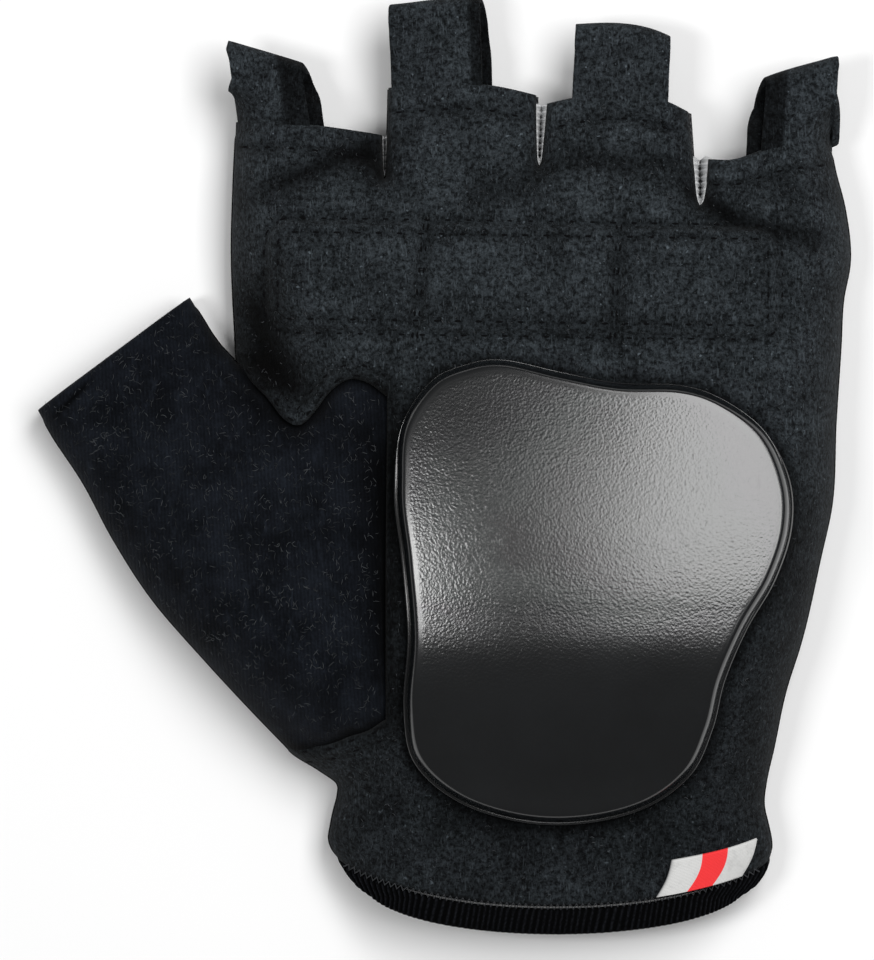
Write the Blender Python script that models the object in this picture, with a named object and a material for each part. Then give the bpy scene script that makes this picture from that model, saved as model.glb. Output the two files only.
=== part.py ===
"""Fingerless skating glove for the left hand, with a hard slider on the heel of the palm.

It lies on its back, palm up, as it would on a table: +X is across the hand towards the little finger,
+Y runs from the wrist to the fingers and +Z comes up out of the palm. Every cloth piece is a wall that
follows one of two surfaces, the palm's and the back's, and these meet at the seam round the glove.
Tables hold places as shares: across is a share of KNUCKLE_BREADTH, up is a share of GLOVE_LENGTH.
"""

import bmesh
import bpy
import numpy as np
from mathutils.kdtree import KDTree

MM = 0.001

# The glove's overall sizes
KNUCKLE_BREADTH = 105.0 * MM
GLOVE_LENGTH = 159.0 * MM
PALM_CROWN = 26.5 * MM
SEAM_HEIGHT = 7.0 * MM
THUMB_CROWN = 14.5 * MM

# How far in from the outline each surface takes to level out
PALM_SHOULDER = 13.5 * MM
FINGER_SHOULDER = 8.5 * MM
BACK_SHOULDER = 7.5 * MM
WEB_SHOULDER = 3.6 * MM

# Cloth
CLOTH_WALL = 1.5 * MM
SEAM_GAP = 0.4 * MM
WEB_WALL = 1.1 * MM
WEB_DROP = 3.2 * MM
WEB_RISE = 2.4 * MM
WEB_SLIT = 3.0 * MM
PAD_RISE = 1.3 * MM
PAD_EDGE = 2.2 * MM

# Elastic binding round the wrist opening
BINDING_WIDTH = 4.4 * MM
BINDING_WALL = 2.3 * MM
BINDING_PROUD = 0.4 * MM

# Pull loops on the finger openings
STRAP_WALL = 1.2 * MM
LOOP_BREADTH = 15.6 * MM
LOOP_HEIGHT = 14.6 * MM
LOOP_BEND_RADIUS = 2.7 * MM
LOOP_TUCK = 3.5 * MM
LOOP_GAP = 0.7 * MM

# Palm slider
SLIDER_BREADTH = 67.6 * MM
SLIDER_LENGTH = 79.2 * MM
SLIDER_THICKNESS = 4.6 * MM
SLIDER_FLANGE_WIDTH = 1.0 * MM
SLIDER_FLANGE_THICKNESS = 1.4 * MM
SLIDER_CORNER = 3.2 * MM
SLIDER_CLEARANCE = 0.4 * MM

# Striped tag in the cuff's seam
TAG_LENGTH = 14.5 * MM
TAG_BREADTH = 6.4 * MM
TAG_LEAN = 2.6 * MM
TAG_THICKNESS = 0.9 * MM
TAG_LIFT = 0.7 * MM
TAG_CLEARANCE = 0.35 * MM

ON_THE_OUTLINE = 0.03 * MM
WELD = 0.01 * MM
SLOPE_STEP = 0.05 * MM


def table(columns, rows):
    """A table as one array for each named column."""
    return dict(zip(columns.split(), np.array(rows, float).T))


# Outlines of the lying glove, seen from above
LEFT_EDGE = table("up across", [
    (0.040, -0.135), (0.054, -0.148), (0.068, -0.163), (0.084, -0.177), (0.100, -0.187),
    (0.116, -0.184), (0.132, -0.179), (0.148, -0.173), (0.161, -0.174), (0.174, -0.201),
    (0.1985, -0.254), (0.206, -0.2555), (0.300, -0.2743), (0.400, -0.2943), (0.500, -0.3144),
    (0.580, -0.3304), (0.6127, -0.337), (0.647, -0.340), (0.728, -0.345), (0.808, -0.342),
    (0.870, -0.338), (0.920, -0.338),
])
RIGHT_EDGE = table("up across", [
    (0.040, 0.497), (0.054, 0.512), (0.068, 0.525), (0.084, 0.532), (0.100, 0.532),
    (0.116, 0.527), (0.137, 0.520), (0.164, 0.524), (0.196, 0.535), (0.261, 0.556),
    (0.309, 0.579), (0.406, 0.613), (0.454, 0.629), (0.550, 0.637), (0.631, 0.645),
    (0.679, 0.649), (0.720, 0.660), (0.776, 0.652), (0.824, 0.634), (0.851, 0.628),
    (0.900, 0.629),
])
THUMB_LEFT_EDGE = table("up across", [
    (0.1985, -0.254), (0.2285, -0.298), (0.293, -0.389), (0.357, -0.473), (0.422, -0.537),
    (0.486, -0.589), (0.534, -0.637), (0.561, -0.660),
])
THUMB_RIGHT_EDGE = table("up across", [
    (0.6127, -0.337), (0.631, -0.363), (0.663, -0.395), (0.682, -0.413),
])
CUFF_CORNER_UP = 0.056
NECK_UP = 0.148
NECK_BOW = 0.2
BACK_CUFF_BOW = 0.25
CROTCH_UP = 0.6127
THUMB_HEEL_UP = 0.1985
THUMB_FREE_CELLS = 4

# Rows of the palm panel from left to right; side is the share of the way across
LOWER_THUMB_SEAM = table("side up", [
    (0.0, 0.1985), (0.112, 0.205), (0.156, 0.2124), (0.209, 0.220), (0.25, 0.231),
    (0.4, 0.236), (1.0, 0.236),
])
UPPER_THUMB_SEAM = table("side up", [
    (0.0, 0.6127), (0.023, 0.590), (0.046, 0.573), (0.070, 0.5515), (0.104, 0.546),
    (0.124, 0.558), (0.156, 0.5815), (0.189, 0.593), (0.222, 0.588), (0.25, 0.575),
    (0.3, 0.565), (0.4, 0.560), (1.0, 0.560),
])
BACK_UPPER_ROW = table("side up", [(0.0, 0.6127), (0.25, 0.59), (0.4, 0.58), (1.0, 0.58)])
WEB_ROW = table("side up", [
    (0.0, 0.795), (0.25, 0.810), (0.51, 0.824), (0.77, 0.781), (1.0, 0.772),
])
PAD = {"left": -0.286, "right": 0.550, "low": 0.633, "high": 0.750, "corner": 0.045}
PAD_CHANNELS = (-0.042, 0.281)

# Fingers: their share of the way across, and the hem of each from its left to its right
FINGER_SIDES = (0.0, 0.25, 0.51, 0.77, 1.0)
FINGER_HEMS = {
    "index": table("side up", [(0.0, 0.870), (0.5, 0.866), (1.0, 0.855)]),
    "middle": table("side up", [(0.0, 0.906), (0.7, 0.908), (1.0, 0.898)]),
    "ring": table("side up", [(0.0, 0.889), (0.2, 0.895), (0.85, 0.891), (1.0, 0.880)]),
    "little": table("side up", [(0.0, 0.829), (0.17, 0.828), (0.46, 0.840), (1.0, 0.851)]),
}
FINGERS = tuple(FINGER_HEMS)
# Webs: the line of each up the glove, and its slit's width at the hems as a share of WEB_SLIT
WEB_LINES = (
    table("up across", [(0.22, -0.094), (0.40, -0.094), (0.576, -0.092), (0.81, -0.096), (0.92, -0.094)]),
    table("up across", [(0.22, 0.148), (0.40, 0.150), (0.576, 0.152), (0.824, 0.1545), (0.92, 0.160)]),
    table("up across", [(0.22, 0.345), (0.40, 0.375), (0.576, 0.395), (0.781, 0.4146), (0.92, 0.408)]),
)
WEB_SLITS = (0.30, 0.63, 1.0)
BACK_SLIT_SHARE = 0.5
# The webs' own lines hold from here up; at the cuff the bands are even shares of its breadth
WEB_LINES_FROM, WEB_LINES_FULL = 0.12, 0.23

# Height of the palm along the hand, as shares of PALM_CROWN
CROWN = table("up height", [
    (0.0, 0.58), (0.06, 0.62), (0.12, 0.66), (0.16, 0.72), (0.20, 0.81), (0.25, 0.91),
    (0.30, 0.98), (0.35, 1.0), (0.42, 1.0), (0.50, 0.975), (0.58, 0.93), (0.70, 0.84),
    (0.78, 0.765), (0.84, 0.67), (0.90, 0.57), (0.95, 0.53),
])
# Round swellings and hollows; radius is a share of KNUCKLE_BREADTH, rise of PALM_CROWN
MOUNDS = {
    "thumb muscle": (-0.215, 0.400, 0.150, 0.050),
    "outer heel": (0.420, 0.490, 0.130, 0.045),
    "inner heel": (0.040, 0.520, 0.090, 0.015),
    "heel valley": (0.210, 0.570, 0.100, -0.035),
}
# In half thumb widths: how far aside of its middle the thumb's height holds, and how far down it fades
THUMB_SPREAD = 1.15
THUMB_REACH = 4.2
THUMB_TIP_REACH = 2.4
# Heights up the glove between which the palm's shoulder narrows to the fingers'
FINGERS_FROM, FINGERS_FULL = 0.70, 0.86
# Creases from one point to another; width is a share of KNUCKLE_BREADTH, depth of PALM_CROWN
CREASES = {
    "under index": (-0.325, 0.780, -0.100, 0.822, 0.030, 0.045),
    "under ring": (0.260, 0.822, 0.400, 0.796, 0.030, 0.045),
    "under little": (0.425, 0.774, 0.640, 0.742, 0.034, 0.060),
}

# The share of its length over which each end of a crease dies out
CREASE_FADE = 0.25

# Pull loops: breadths and skew are shares of LOOP_BREADTH, heights of LOOP_HEIGHT. The skew moves the
# returning leaf aside, the lean moves the whole tip aside, and the slope makes one corner reach further.
LOOPS = {
    "index": {"across": -0.276, "breadth": 0.79, "height": 0.97, "tuck_across": -0.232,
              "tuck_breadth": 0.54, "skew": 0.10, "lean": -0.14, "slope": -0.13},
    "middle": {"across": -0.012, "breadth": 1.0, "height": 1.0, "tuck_across": 0.005,
               "tuck_breadth": 0.74, "skew": 0.15, "lean": -0.03, "slope": 0.03},
    "ring": {"across": 0.285, "breadth": 1.04, "height": 0.82, "tuck_across": 0.285,
             "tuck_breadth": 0.80, "skew": 0.0, "lean": 0.05, "slope": -0.08},
    "little": {"across": 0.572, "breadth": 0.79, "height": 0.90, "tuck_across": 0.525,
               "tuck_breadth": 0.54, "skew": -0.10, "lean": 0.07, "slope": 0.07},
}

# The slider's outline round its middle, as shares of its breadth and length
SLIDER_ACROSS = 0.241
SLIDER_UP = 0.365
SLIDER_OUTLINE = table("side along", [
    (-0.225, 0.500), (-0.083, 0.474), (0.060, 0.451), (0.215, 0.446), (0.320, 0.417),
    (0.425, 0.350), (0.490, 0.248), (0.497, 0.140), (0.455, 0.028), (0.385, -0.075),
    (0.330, -0.185), (0.300, -0.290), (0.245, -0.390), (0.130, -0.462), (-0.030, -0.495),
    (-0.190, -0.490), (-0.345, -0.445), (-0.452, -0.360), (-0.477, -0.240), (-0.467, -0.090),
    (-0.482, 0.070), (-0.501, 0.215), (-0.482, 0.355), (-0.410, 0.452), (-0.320, 0.490),
])
TAG_ACROSS = 0.343


def smooth(lookup, key, value, at):
    """A table read as one smooth curve: cubic pieces with the slopes of the chords around each row."""
    keys, values = lookup[key], lookup[value]
    slopes = np.gradient(values, keys)
    at = np.clip(at, keys[0], keys[-1])
    i = np.clip(np.searchsorted(keys, at, side="right") - 1, 0, len(keys) - 2)
    width = keys[i + 1] - keys[i]
    s = (at - keys[i]) / width
    rise = s * s * (3 - 2 * s)
    bend_out, bend_in = s * (1 - s) ** 2, s * s * (s - 1)
    curve = values[i] + (values[i + 1] - values[i]) * rise
    return curve + width * (slopes[i] * bend_out + slopes[i + 1] * bend_in)


def ease(share):
    share = np.clip(share, 0, 1)
    return share * share * (3 - 2 * share)


def cosine_steps(count):
    """Shares from 0 to 1, closer together at both ends."""
    return (1 - np.cos(np.linspace(0, np.pi, count + 1))) / 2


def shoulder(share):
    """A quarter of a circle: upright at the outline, where share is 0, and level from 1 on."""
    return np.sqrt(1 - np.clip(1 - share, 0, 1) ** 2)


def distance_to(lines, x, y):
    """Distance from each point to the nearest of several polylines seen from above."""
    nearest = np.full(np.shape(x), np.inf)
    for line in lines:
        start, step = line[:-1], np.diff(line, axis=0)
        px, py = np.expand_dims(x, -1) - start[:, 0], np.expand_dims(y, -1) - start[:, 1]
        along = np.clip((px * step[:, 0] + py * step[:, 1]) / (step**2).sum(1), 0, 1)
        away = np.hypot(px - along * step[:, 0], py - along * step[:, 1])
        nearest = np.minimum(nearest, away.min(-1))
    return np.where(nearest < ON_THE_OUTLINE, 0.0, nearest)


def web_foot(web):
    return smooth(WEB_ROW, "side", "up", FINGER_SIDES[web])


def web_width(web, up, finger, slit_share):
    """Half of a slit's width: none at its foot, opening as a rounded U to the finger's hem."""
    hem = FINGER_HEMS[finger]["up"][-1 if finger == FINGERS[web - 1] else 0]
    risen = np.clip((up - web_foot(web)) / (hem - web_foot(web)), 0, 1)
    return WEB_SLIT * WEB_SLITS[web - 1] / 2 * slit_share * np.sqrt(risen)


def web_line(web, up):
    """A web's line: an even share of the cuff's breadth at the wrist, and its own line above."""
    left, right = (smooth(edge, "up", "across", up) for edge in (LEFT_EDGE, RIGHT_EDGE))
    even = left + (right - left) * FINGER_SIDES[web]
    own = smooth(WEB_LINES[web - 1], "up", "across", up)
    return even + (own - even) * ease((up - WEB_LINES_FROM) / (WEB_LINES_FULL - WEB_LINES_FROM))


def finger_x(finger, share, up, slit_share):
    """Across the glove at one height, from the left to the right side of one finger's band."""
    number = FINGERS.index(finger)
    if number == 0:
        left = smooth(LEFT_EDGE, "up", "across", up) * KNUCKLE_BREADTH
    else:
        left = web_line(number, up) * KNUCKLE_BREADTH + web_width(number, up, finger, slit_share)
    if number == 3:
        right = smooth(RIGHT_EDGE, "up", "across", up) * KNUCKLE_BREADTH
    else:
        right = web_line(number + 1, up) * KNUCKLE_BREADTH - web_width(number + 1, up, finger, slit_share)
    return left + (right - left) * share


def edge_line(edge, low, high, count=60):
    up = np.linspace(low, high, count)
    return np.stack([smooth(edge, "up", "across", up) * KNUCKLE_BREADTH, up * GLOVE_LENGTH], 1)


def slit_sides(slit_share):
    """Both sides of every slit, each as a polyline from its foot to the hem."""
    lines = []
    for web in (1, 2, 3):
        for finger, share, hem_end in ((FINGERS[web - 1], 1.0, -1), (FINGERS[web], 0.0, 0)):
            hem = FINGER_HEMS[finger]["up"][hem_end]
            up = web_foot(web) + (hem - web_foot(web)) * np.linspace(0, 1, 40) ** 2
            lines.append(np.stack([finger_x(finger, share, up, slit_share), up * GLOVE_LENGTH], 1))
    return lines


OUTLINE = (
    np.concatenate([
        edge_line(LEFT_EDGE, 0.0, THUMB_HEEL_UP),
        edge_line(THUMB_LEFT_EDGE, THUMB_HEEL_UP, THUMB_LEFT_EDGE["up"][-1])[1:],
    ]),
    np.concatenate([
        edge_line(THUMB_RIGHT_EDGE, CROTCH_UP, THUMB_RIGHT_EDGE["up"][-1])[::-1],
        edge_line(LEFT_EDGE, CROTCH_UP, LEFT_EDGE["up"][-1])[1:],
    ]),
    edge_line(RIGHT_EDGE, 0.0, RIGHT_EDGE["up"][-1], 120),
)
PALM_SLITS = slit_sides(1.0)
BACK_SLITS = slit_sides(BACK_SLIT_SHARE)
THUMB_OUTER_TIP = OUTLINE[0][-1]
THUMB_INNER_TIP = OUTLINE[1][0]
HALF_THUMB = np.hypot(*(THUMB_INNER_TIP - THUMB_OUTER_TIP)) / 2


def thumb_place(x, y):
    """Each point's distance down the thumb from its opening and aside from its middle, in half thumb widths."""
    across = (THUMB_INNER_TIP - THUMB_OUTER_TIP) / (2 * HALF_THUMB)
    middle = (THUMB_OUTER_TIP + THUMB_INNER_TIP) / 2
    down = (x - middle[0]) * across[1] - (y - middle[1]) * across[0]
    aside = (x - middle[0]) * across[0] + (y - middle[1]) * across[1]
    return down / HALF_THUMB, np.abs(aside) / HALF_THUMB


def crown(x, y):
    """The palm's height well inside the outline, falling to the thumb's own height at its opening."""
    height = smooth(CROWN, "up", "height", y / GLOVE_LENGTH)
    for across, up, radius, rise in MOUNDS.values():
        away = np.hypot(x - across * KNUCKLE_BREADTH, y - up * GLOVE_LENGTH)
        height = height + rise * np.exp(-((away / (radius * KNUCKLE_BREADTH)) ** 2))
    down, aside = thumb_place(x, y)
    on_thumb = (1 - ease(aside - THUMB_SPREAD)) * (1 - ease(down / THUMB_REACH))
    return height * PALM_CROWN * (1 - on_thumb) + THUMB_CROWN * on_thumb


def pad_relief(x, y):
    """The stitched pad over the knuckles: a raised rounded rectangle with two channels across it."""
    low, high = PAD["low"] * GLOVE_LENGTH, PAD["high"] * GLOVE_LENGTH
    left, right = PAD["left"] * KNUCKLE_BREADTH, PAD["right"] * KNUCKLE_BREADTH
    corner = PAD["corner"] * KNUCKLE_BREADTH
    out_x = np.abs(x - (left + right) / 2) - (right - left) / 2 + corner
    out_y = np.abs(y - (low + high) / 2) - (high - low) / 2 + corner
    outside = np.hypot(np.maximum(out_x, 0), np.maximum(out_y, 0)) + np.minimum(np.maximum(out_x, out_y), 0) - corner
    relief = ease(-outside / PAD_EDGE)
    for across in PAD_CHANNELS:
        relief = relief * (1 - np.exp(-(((x - across * KNUCKLE_BREADTH) / PAD_EDGE) ** 2)))
    return relief * PAD_RISE


def crease_relief(x, y):
    relief = np.zeros(np.shape(x))
    for across_0, up_0, across_1, up_1, width, depth in CREASES.values():
        start = np.array([across_0 * KNUCKLE_BREADTH, up_0 * GLOVE_LENGTH])
        run = np.array([across_1 * KNUCKLE_BREADTH, up_1 * GLOVE_LENGTH]) - start
        along = ((x - start[0]) * run[0] + (y - start[1]) * run[1]) / (run @ run)
        off = ((y - start[1]) * run[0] - (x - start[0]) * run[1]) / np.hypot(*run)
        fade = ease(along / CREASE_FADE) * ease((1 - along) / CREASE_FADE)
        relief = relief - depth * PALM_CROWN * fade * np.exp(-((off / (width * KNUCKLE_BREADTH)) ** 2))
    return relief


def palm_height(x, y, seam_lift=SEAM_GAP / 2):
    """The palm's outer surface: from the side seam up a round shoulder to the crown, with its relief."""
    down, aside = thumb_place(x, y)
    on_finger = ease((y / GLOVE_LENGTH - FINGERS_FROM) / (FINGERS_FULL - FINGERS_FROM))
    on_thumb = (1 - ease(down / THUMB_TIP_REACH)) * (aside < THUMB_SPREAD + 0.15)
    radius = PALM_SHOULDER + (FINGER_SHOULDER - PALM_SHOULDER) * np.maximum(on_finger, on_thumb)
    inside = shoulder(distance_to(OUTLINE, x, y) / radius)
    web = 1 - shoulder(distance_to(PALM_SLITS, x, y) / WEB_SHOULDER)
    relief = pad_relief(x, y) + crease_relief(x, y)
    rise = crown(x, y) + relief - SEAM_HEIGHT
    return SEAM_HEIGHT + seam_lift * (1 - inside) + rise * inside - WEB_DROP * web


def back_height(x, y, seam_drop=SEAM_GAP / 2):
    """The back's outer surface: flat on the table, and up a round shoulder to the side seam."""
    edge = 1 - shoulder(distance_to(OUTLINE, x, y) / BACK_SHOULDER)
    web = 1 - shoulder(distance_to(BACK_SLITS, x, y) / WEB_SHOULDER)
    return np.maximum((SEAM_HEIGHT - seam_drop) * edge, WEB_RISE * web)


def bow(side):
    """Half a circle over the way across: 0 at both side seams and 1 in the middle."""
    return np.sqrt(np.clip(1 - (2 * side - 1) ** 2, 0, 1))


def cuff_edge(side, bow_share):
    """The wrist opening's edge: half an ellipse that sweeps down from one side seam to the other."""
    return CUFF_CORNER_UP * (1 - bow_share * bow(side))


def hem_row(side, bow_share):
    return cuff_edge(side, bow_share) + (BINDING_WIDTH + SEAM_GAP) / GLOVE_LENGTH


def grid_normals(points, facing):
    """The outward direction at each point of a grid of points, from the points beside it."""
    down, across = np.gradient(points, axis=(0, 1))
    normal = facing * np.cross(across, down)
    return normal / np.linalg.norm(normal, axis=-1, keepdims=True)


def surface_normals(grid, facing, height=None, seams=()):
    """A sheet's outward direction at each point: from its height's slopes, but level where it lies on a seam."""
    rough = grid_normals(grid, facing)
    if height is None:
        return rough
    x, y = grid[..., 0], grid[..., 1]
    slope_x = (height(x + SLOPE_STEP, y) - height(x - SLOPE_STEP, y)) / (2 * SLOPE_STEP)
    slope_y = (height(x, y + SLOPE_STEP) - height(x, y - SLOPE_STEP)) / (2 * SLOPE_STEP)
    fine = np.stack([-slope_x, -slope_y, np.ones_like(x)], -1)
    fine *= np.sign((fine * rough).sum())
    level = rough * (1, 1, 0)
    on_seam = distance_to(seams, x, y) == 0
    normals = np.where(on_seam[..., None], level, fine)
    return normals / np.linalg.norm(normals, axis=-1, keepdims=True)


def grid_faces(rows, columns):
    corner = (np.arange(rows - 1)[:, None] * columns + np.arange(columns - 1)).ravel()
    return np.stack([corner, corner + 1, corner + columns + 1, corner + columns], 1)


def first_at_each_place(points):
    """For each point, the number of the first point that lies in the same place."""
    tree = KDTree(len(points))
    for number, point in enumerate(points):
        tree.insert(point, number)
    tree.balance()
    return np.array([min(number for _, number, _ in tree.find_range(point, WELD)) for point in points])


def rim_of(faces):
    """The edges that only one face has, in that face's order."""
    edges = np.concatenate([np.stack([faces[:, k], faces[:, (k + 1) % 4]], 1) for k in range(4)])
    edges = edges[edges[:, 0] != edges[:, 1]]
    _, index, count = np.unique(np.sort(edges, 1), axis=0, return_inverse=True, return_counts=True)
    return edges[count[index.ravel()] == 1]


def finish_object(name, points, faces, material):
    """A named object from points and faces, its faces turned outwards and its round parts smooth."""
    mesh = bpy.data.meshes.new(name)
    made = bmesh.new()
    vertices = [made.verts.new(point) for point in points]
    for face in faces:
        corners = list(dict.fromkeys(face))
        if len(corners) > 2:
            made.faces.new([vertices[k] for k in corners])
    bmesh.ops.recalc_face_normals(made, faces=made.faces)
    made.to_mesh(mesh)
    made.free()
    mesh.materials.append(material)
    mesh.shade_smooth()
    mesh.set_sharp_from_angle(angle=np.radians(50))
    obj = bpy.data.objects.new(name, mesh)
    bpy.context.scene.collection.objects.link(obj)
    return obj


def sheet_object(name, patches, wall, material):
    """A cloth wall: grids of points welded where they meet, thickened inwards and closed at the rim."""
    points, normals, faces, count = [], [], [], 0
    for grid, facing, *surface in patches:
        points.append(grid.reshape(-1, 3))
        normals.append(surface_normals(grid, facing, *surface).reshape(-1, 3))
        patch_faces = grid_faces(*grid.shape[:2]) + count
        faces.append(patch_faces if facing > 0 else patch_faces[:, ::-1])
        count += len(points[-1])
    points, normals, faces = (np.concatenate(x) for x in (points, normals, faces))
    first, index = np.unique(first_at_each_place(points), return_inverse=True)
    mean = np.zeros((len(first), 3))
    np.add.at(mean, index, normals)
    mean /= np.linalg.norm(mean, axis=1, keepdims=True)
    outer, faces = points[first], index[faces]
    rim = rim_of(faces)
    shift = len(outer)
    rim_faces = np.stack([rim[:, 1], rim[:, 0], rim[:, 0] + shift, rim[:, 1] + shift], 1)
    return finish_object(
        name,
        np.concatenate([outer, outer - wall * mean]),
        np.concatenate([faces, faces[:, ::-1] + shift, rim_faces]),
        material,
    )


def material(name, colour, roughness, metallic=0.0):
    made = bpy.data.materials.new(name)
    made.use_nodes = True
    shader = made.node_tree.nodes["Principled BSDF"]
    shader.inputs["Base Color"].default_value = (*colour, 1.0)
    shader.inputs["Roughness"].default_value = roughness
    shader.inputs["Metallic"].default_value = metallic
    made.diffuse_color = (*colour, 1.0)
    return made


def rows_between(knots, counts):
    """Shares from 0 to 1 for rows that pass exactly through each knot."""
    parts = [np.linspace(low, high, count, endpoint=False) for low, high, count in zip(knots[:-1], knots[1:], counts)]
    return np.append(np.concatenate(parts), knots[-1])


# The rows that the palm's and the back's grids pass through, as shares of the way up the grid
ROW_KNOTS = np.array([0.0, 0.12, 0.24, 0.56, 0.62, 0.80, 0.88, 1.0])
LOWER_SEAM_ROW, UPPER_SEAM_ROW = ROW_KNOTS[2], ROW_KNOTS[3]
PALM_ROWS = rows_between(ROW_KNOTS, (3, 2, 9, 1, 5, 3, 4))
# The back's rows are closer near both ends of the thumb's seam, where it climbs to the side seam
BACK_ROWS = np.concatenate([
    rows_between(ROW_KNOTS[:3], (3, 2))[:-1],
    LOWER_SEAM_ROW + (UPPER_SEAM_ROW - LOWER_SEAM_ROW) * (cosine_steps(17) + np.linspace(0, 1, 18)) / 2,
    rows_between(ROW_KNOTS[3:], (1, 2, 2, 3))[1:],
])
# Columns of each finger's band, from its left to its right; the grids draw them closer at both sides
PALM_COLUMNS = {
    "index": (0, 0.10, 0.21, 0.29, 0.36, 0.44, 0.51, 0.58, 0.67, 0.78, 0.89, 1),
    "middle": (0, 0.16, 0.30, 0.43, 0.60, 0.82, 1),
    "ring": (0, 0.18, 0.36, 0.50, 0.64, 0.82, 1),
    "little": (0, 0.14, 0.30, 0.46, 0.60, 0.73, 0.86, 1),
}
BACK_COLUMNS = {
    "index": (0, 0.16, 0.32, 0.5, 0.75, 1),
    "middle": (0, 0.3, 0.7, 1),
    "ring": (0, 0.3, 0.7, 1),
    "little": (0, 0.25, 0.5, 0.68, 0.84, 1),
}


def panel_up(finger, share, row, back):
    """Height up the glove of a grid row, blended between the named rows below and above it."""
    number = FINGERS.index(finger)
    side = FINGER_SIDES[number] + (FINGER_SIDES[number + 1] - FINGER_SIDES[number]) * share
    upper = BACK_UPPER_ROW if back else UPPER_THUMB_SEAM
    levels = [
        hem_row(side, BACK_CUFF_BOW if back else 1.0),
        NECK_UP * (1 - NECK_BOW * bow(side)),
        smooth(LOWER_THUMB_SEAM, "side", "up", side),
        smooth(upper, "side", "up", side),
        np.full(np.shape(side), PAD["low"]),
        np.full(np.shape(side), PAD["high"]),
        smooth(WEB_ROW, "side", "up", side),
        smooth(FINGER_HEMS[finger], "side", "up", share),
    ]
    up = levels[0]
    for k in range(len(levels) - 1):
        part = np.clip((row - ROW_KNOTS[k]) / (ROW_KNOTS[k + 1] - ROW_KNOTS[k]), 0, 1)
        up = up + (levels[k + 1] - levels[k]) * part
    return up


def panel_grid(finger, columns, rows, back=False):
    """One finger's band of the palm or of the back, as a grid of points from the hem to the fingertip."""
    a, row = np.meshgrid(columns, rows)
    share = (1 - np.cos(np.pi * a)) / 2
    up = panel_up(finger, share, row, back)
    x = finger_x(finger, share, up, BACK_SLIT_SHARE if back else 1.0)
    y = up * GLOVE_LENGTH
    return np.stack([x, y, (back_height if back else palm_height)(x, y)], -1)


def make_palm_panel(suede):
    """The suede palm: four finger bands side by side, the first cut away where the thumb panel is let in."""
    patches = []
    for finger, columns in PALM_COLUMNS.items():
        runs = [PALM_ROWS]
        if finger == "index":
            runs = [PALM_ROWS[PALM_ROWS <= LOWER_SEAM_ROW], PALM_ROWS[PALM_ROWS >= UPPER_SEAM_ROW]]
        seams = (*OUTLINE, *PALM_SLITS)
        patches += [(panel_grid(finger, columns, rows), 1, palm_height, seams) for rows in runs]
    return sheet_object("palm_panel", patches, CLOTH_WALL, suede)


def make_back_panel(knit):
    patches = []
    for finger, columns in BACK_COLUMNS.items():
        grid = panel_grid(finger, columns, BACK_ROWS, back=True)
        patches.append((grid, -1, back_height, (*OUTLINE, *BACK_SLITS)))
    return sheet_object("back_panel", patches, CLOTH_WALL, knit)


def run_along(points, shares):
    """Places at given shares of a polyline's length."""
    steps = np.hypot(*np.diff(points, axis=0).T)
    length = np.append(0, np.cumsum(steps))
    return np.stack([np.interp(shares * length[-1], length, points[:, k]) for k in (0, 1)], -1)


def stand_back(points, distance):
    """A polyline moved to its right by a distance."""
    run = np.diff(points, axis=0)
    run /= np.hypot(*run.T)[:, None]
    mean = np.concatenate([run[:1], (run[:-1] + run[1:]) / 2, run[-1:]])
    mean /= (mean**2).sum(1, keepdims=True)
    return points + distance * np.stack([mean[:, 1], -mean[:, 0]], 1)


def stretched_grid(left, right, tip, base):
    """A grid of points between four polylines that meet at their ends."""
    b = np.linspace(0, 1, len(left))[:, None, None]
    a = np.linspace(0, 1, len(tip))[None, :, None]
    sides = (1 - a) * left[:, None] + a * right[:, None] + (1 - b) * tip[None] + b * base[None]
    corners = (1 - b) * ((1 - a) * tip[0] + a * tip[-1]) + b * ((1 - a) * base[0] + a * base[-1])
    return sides - corners


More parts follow.
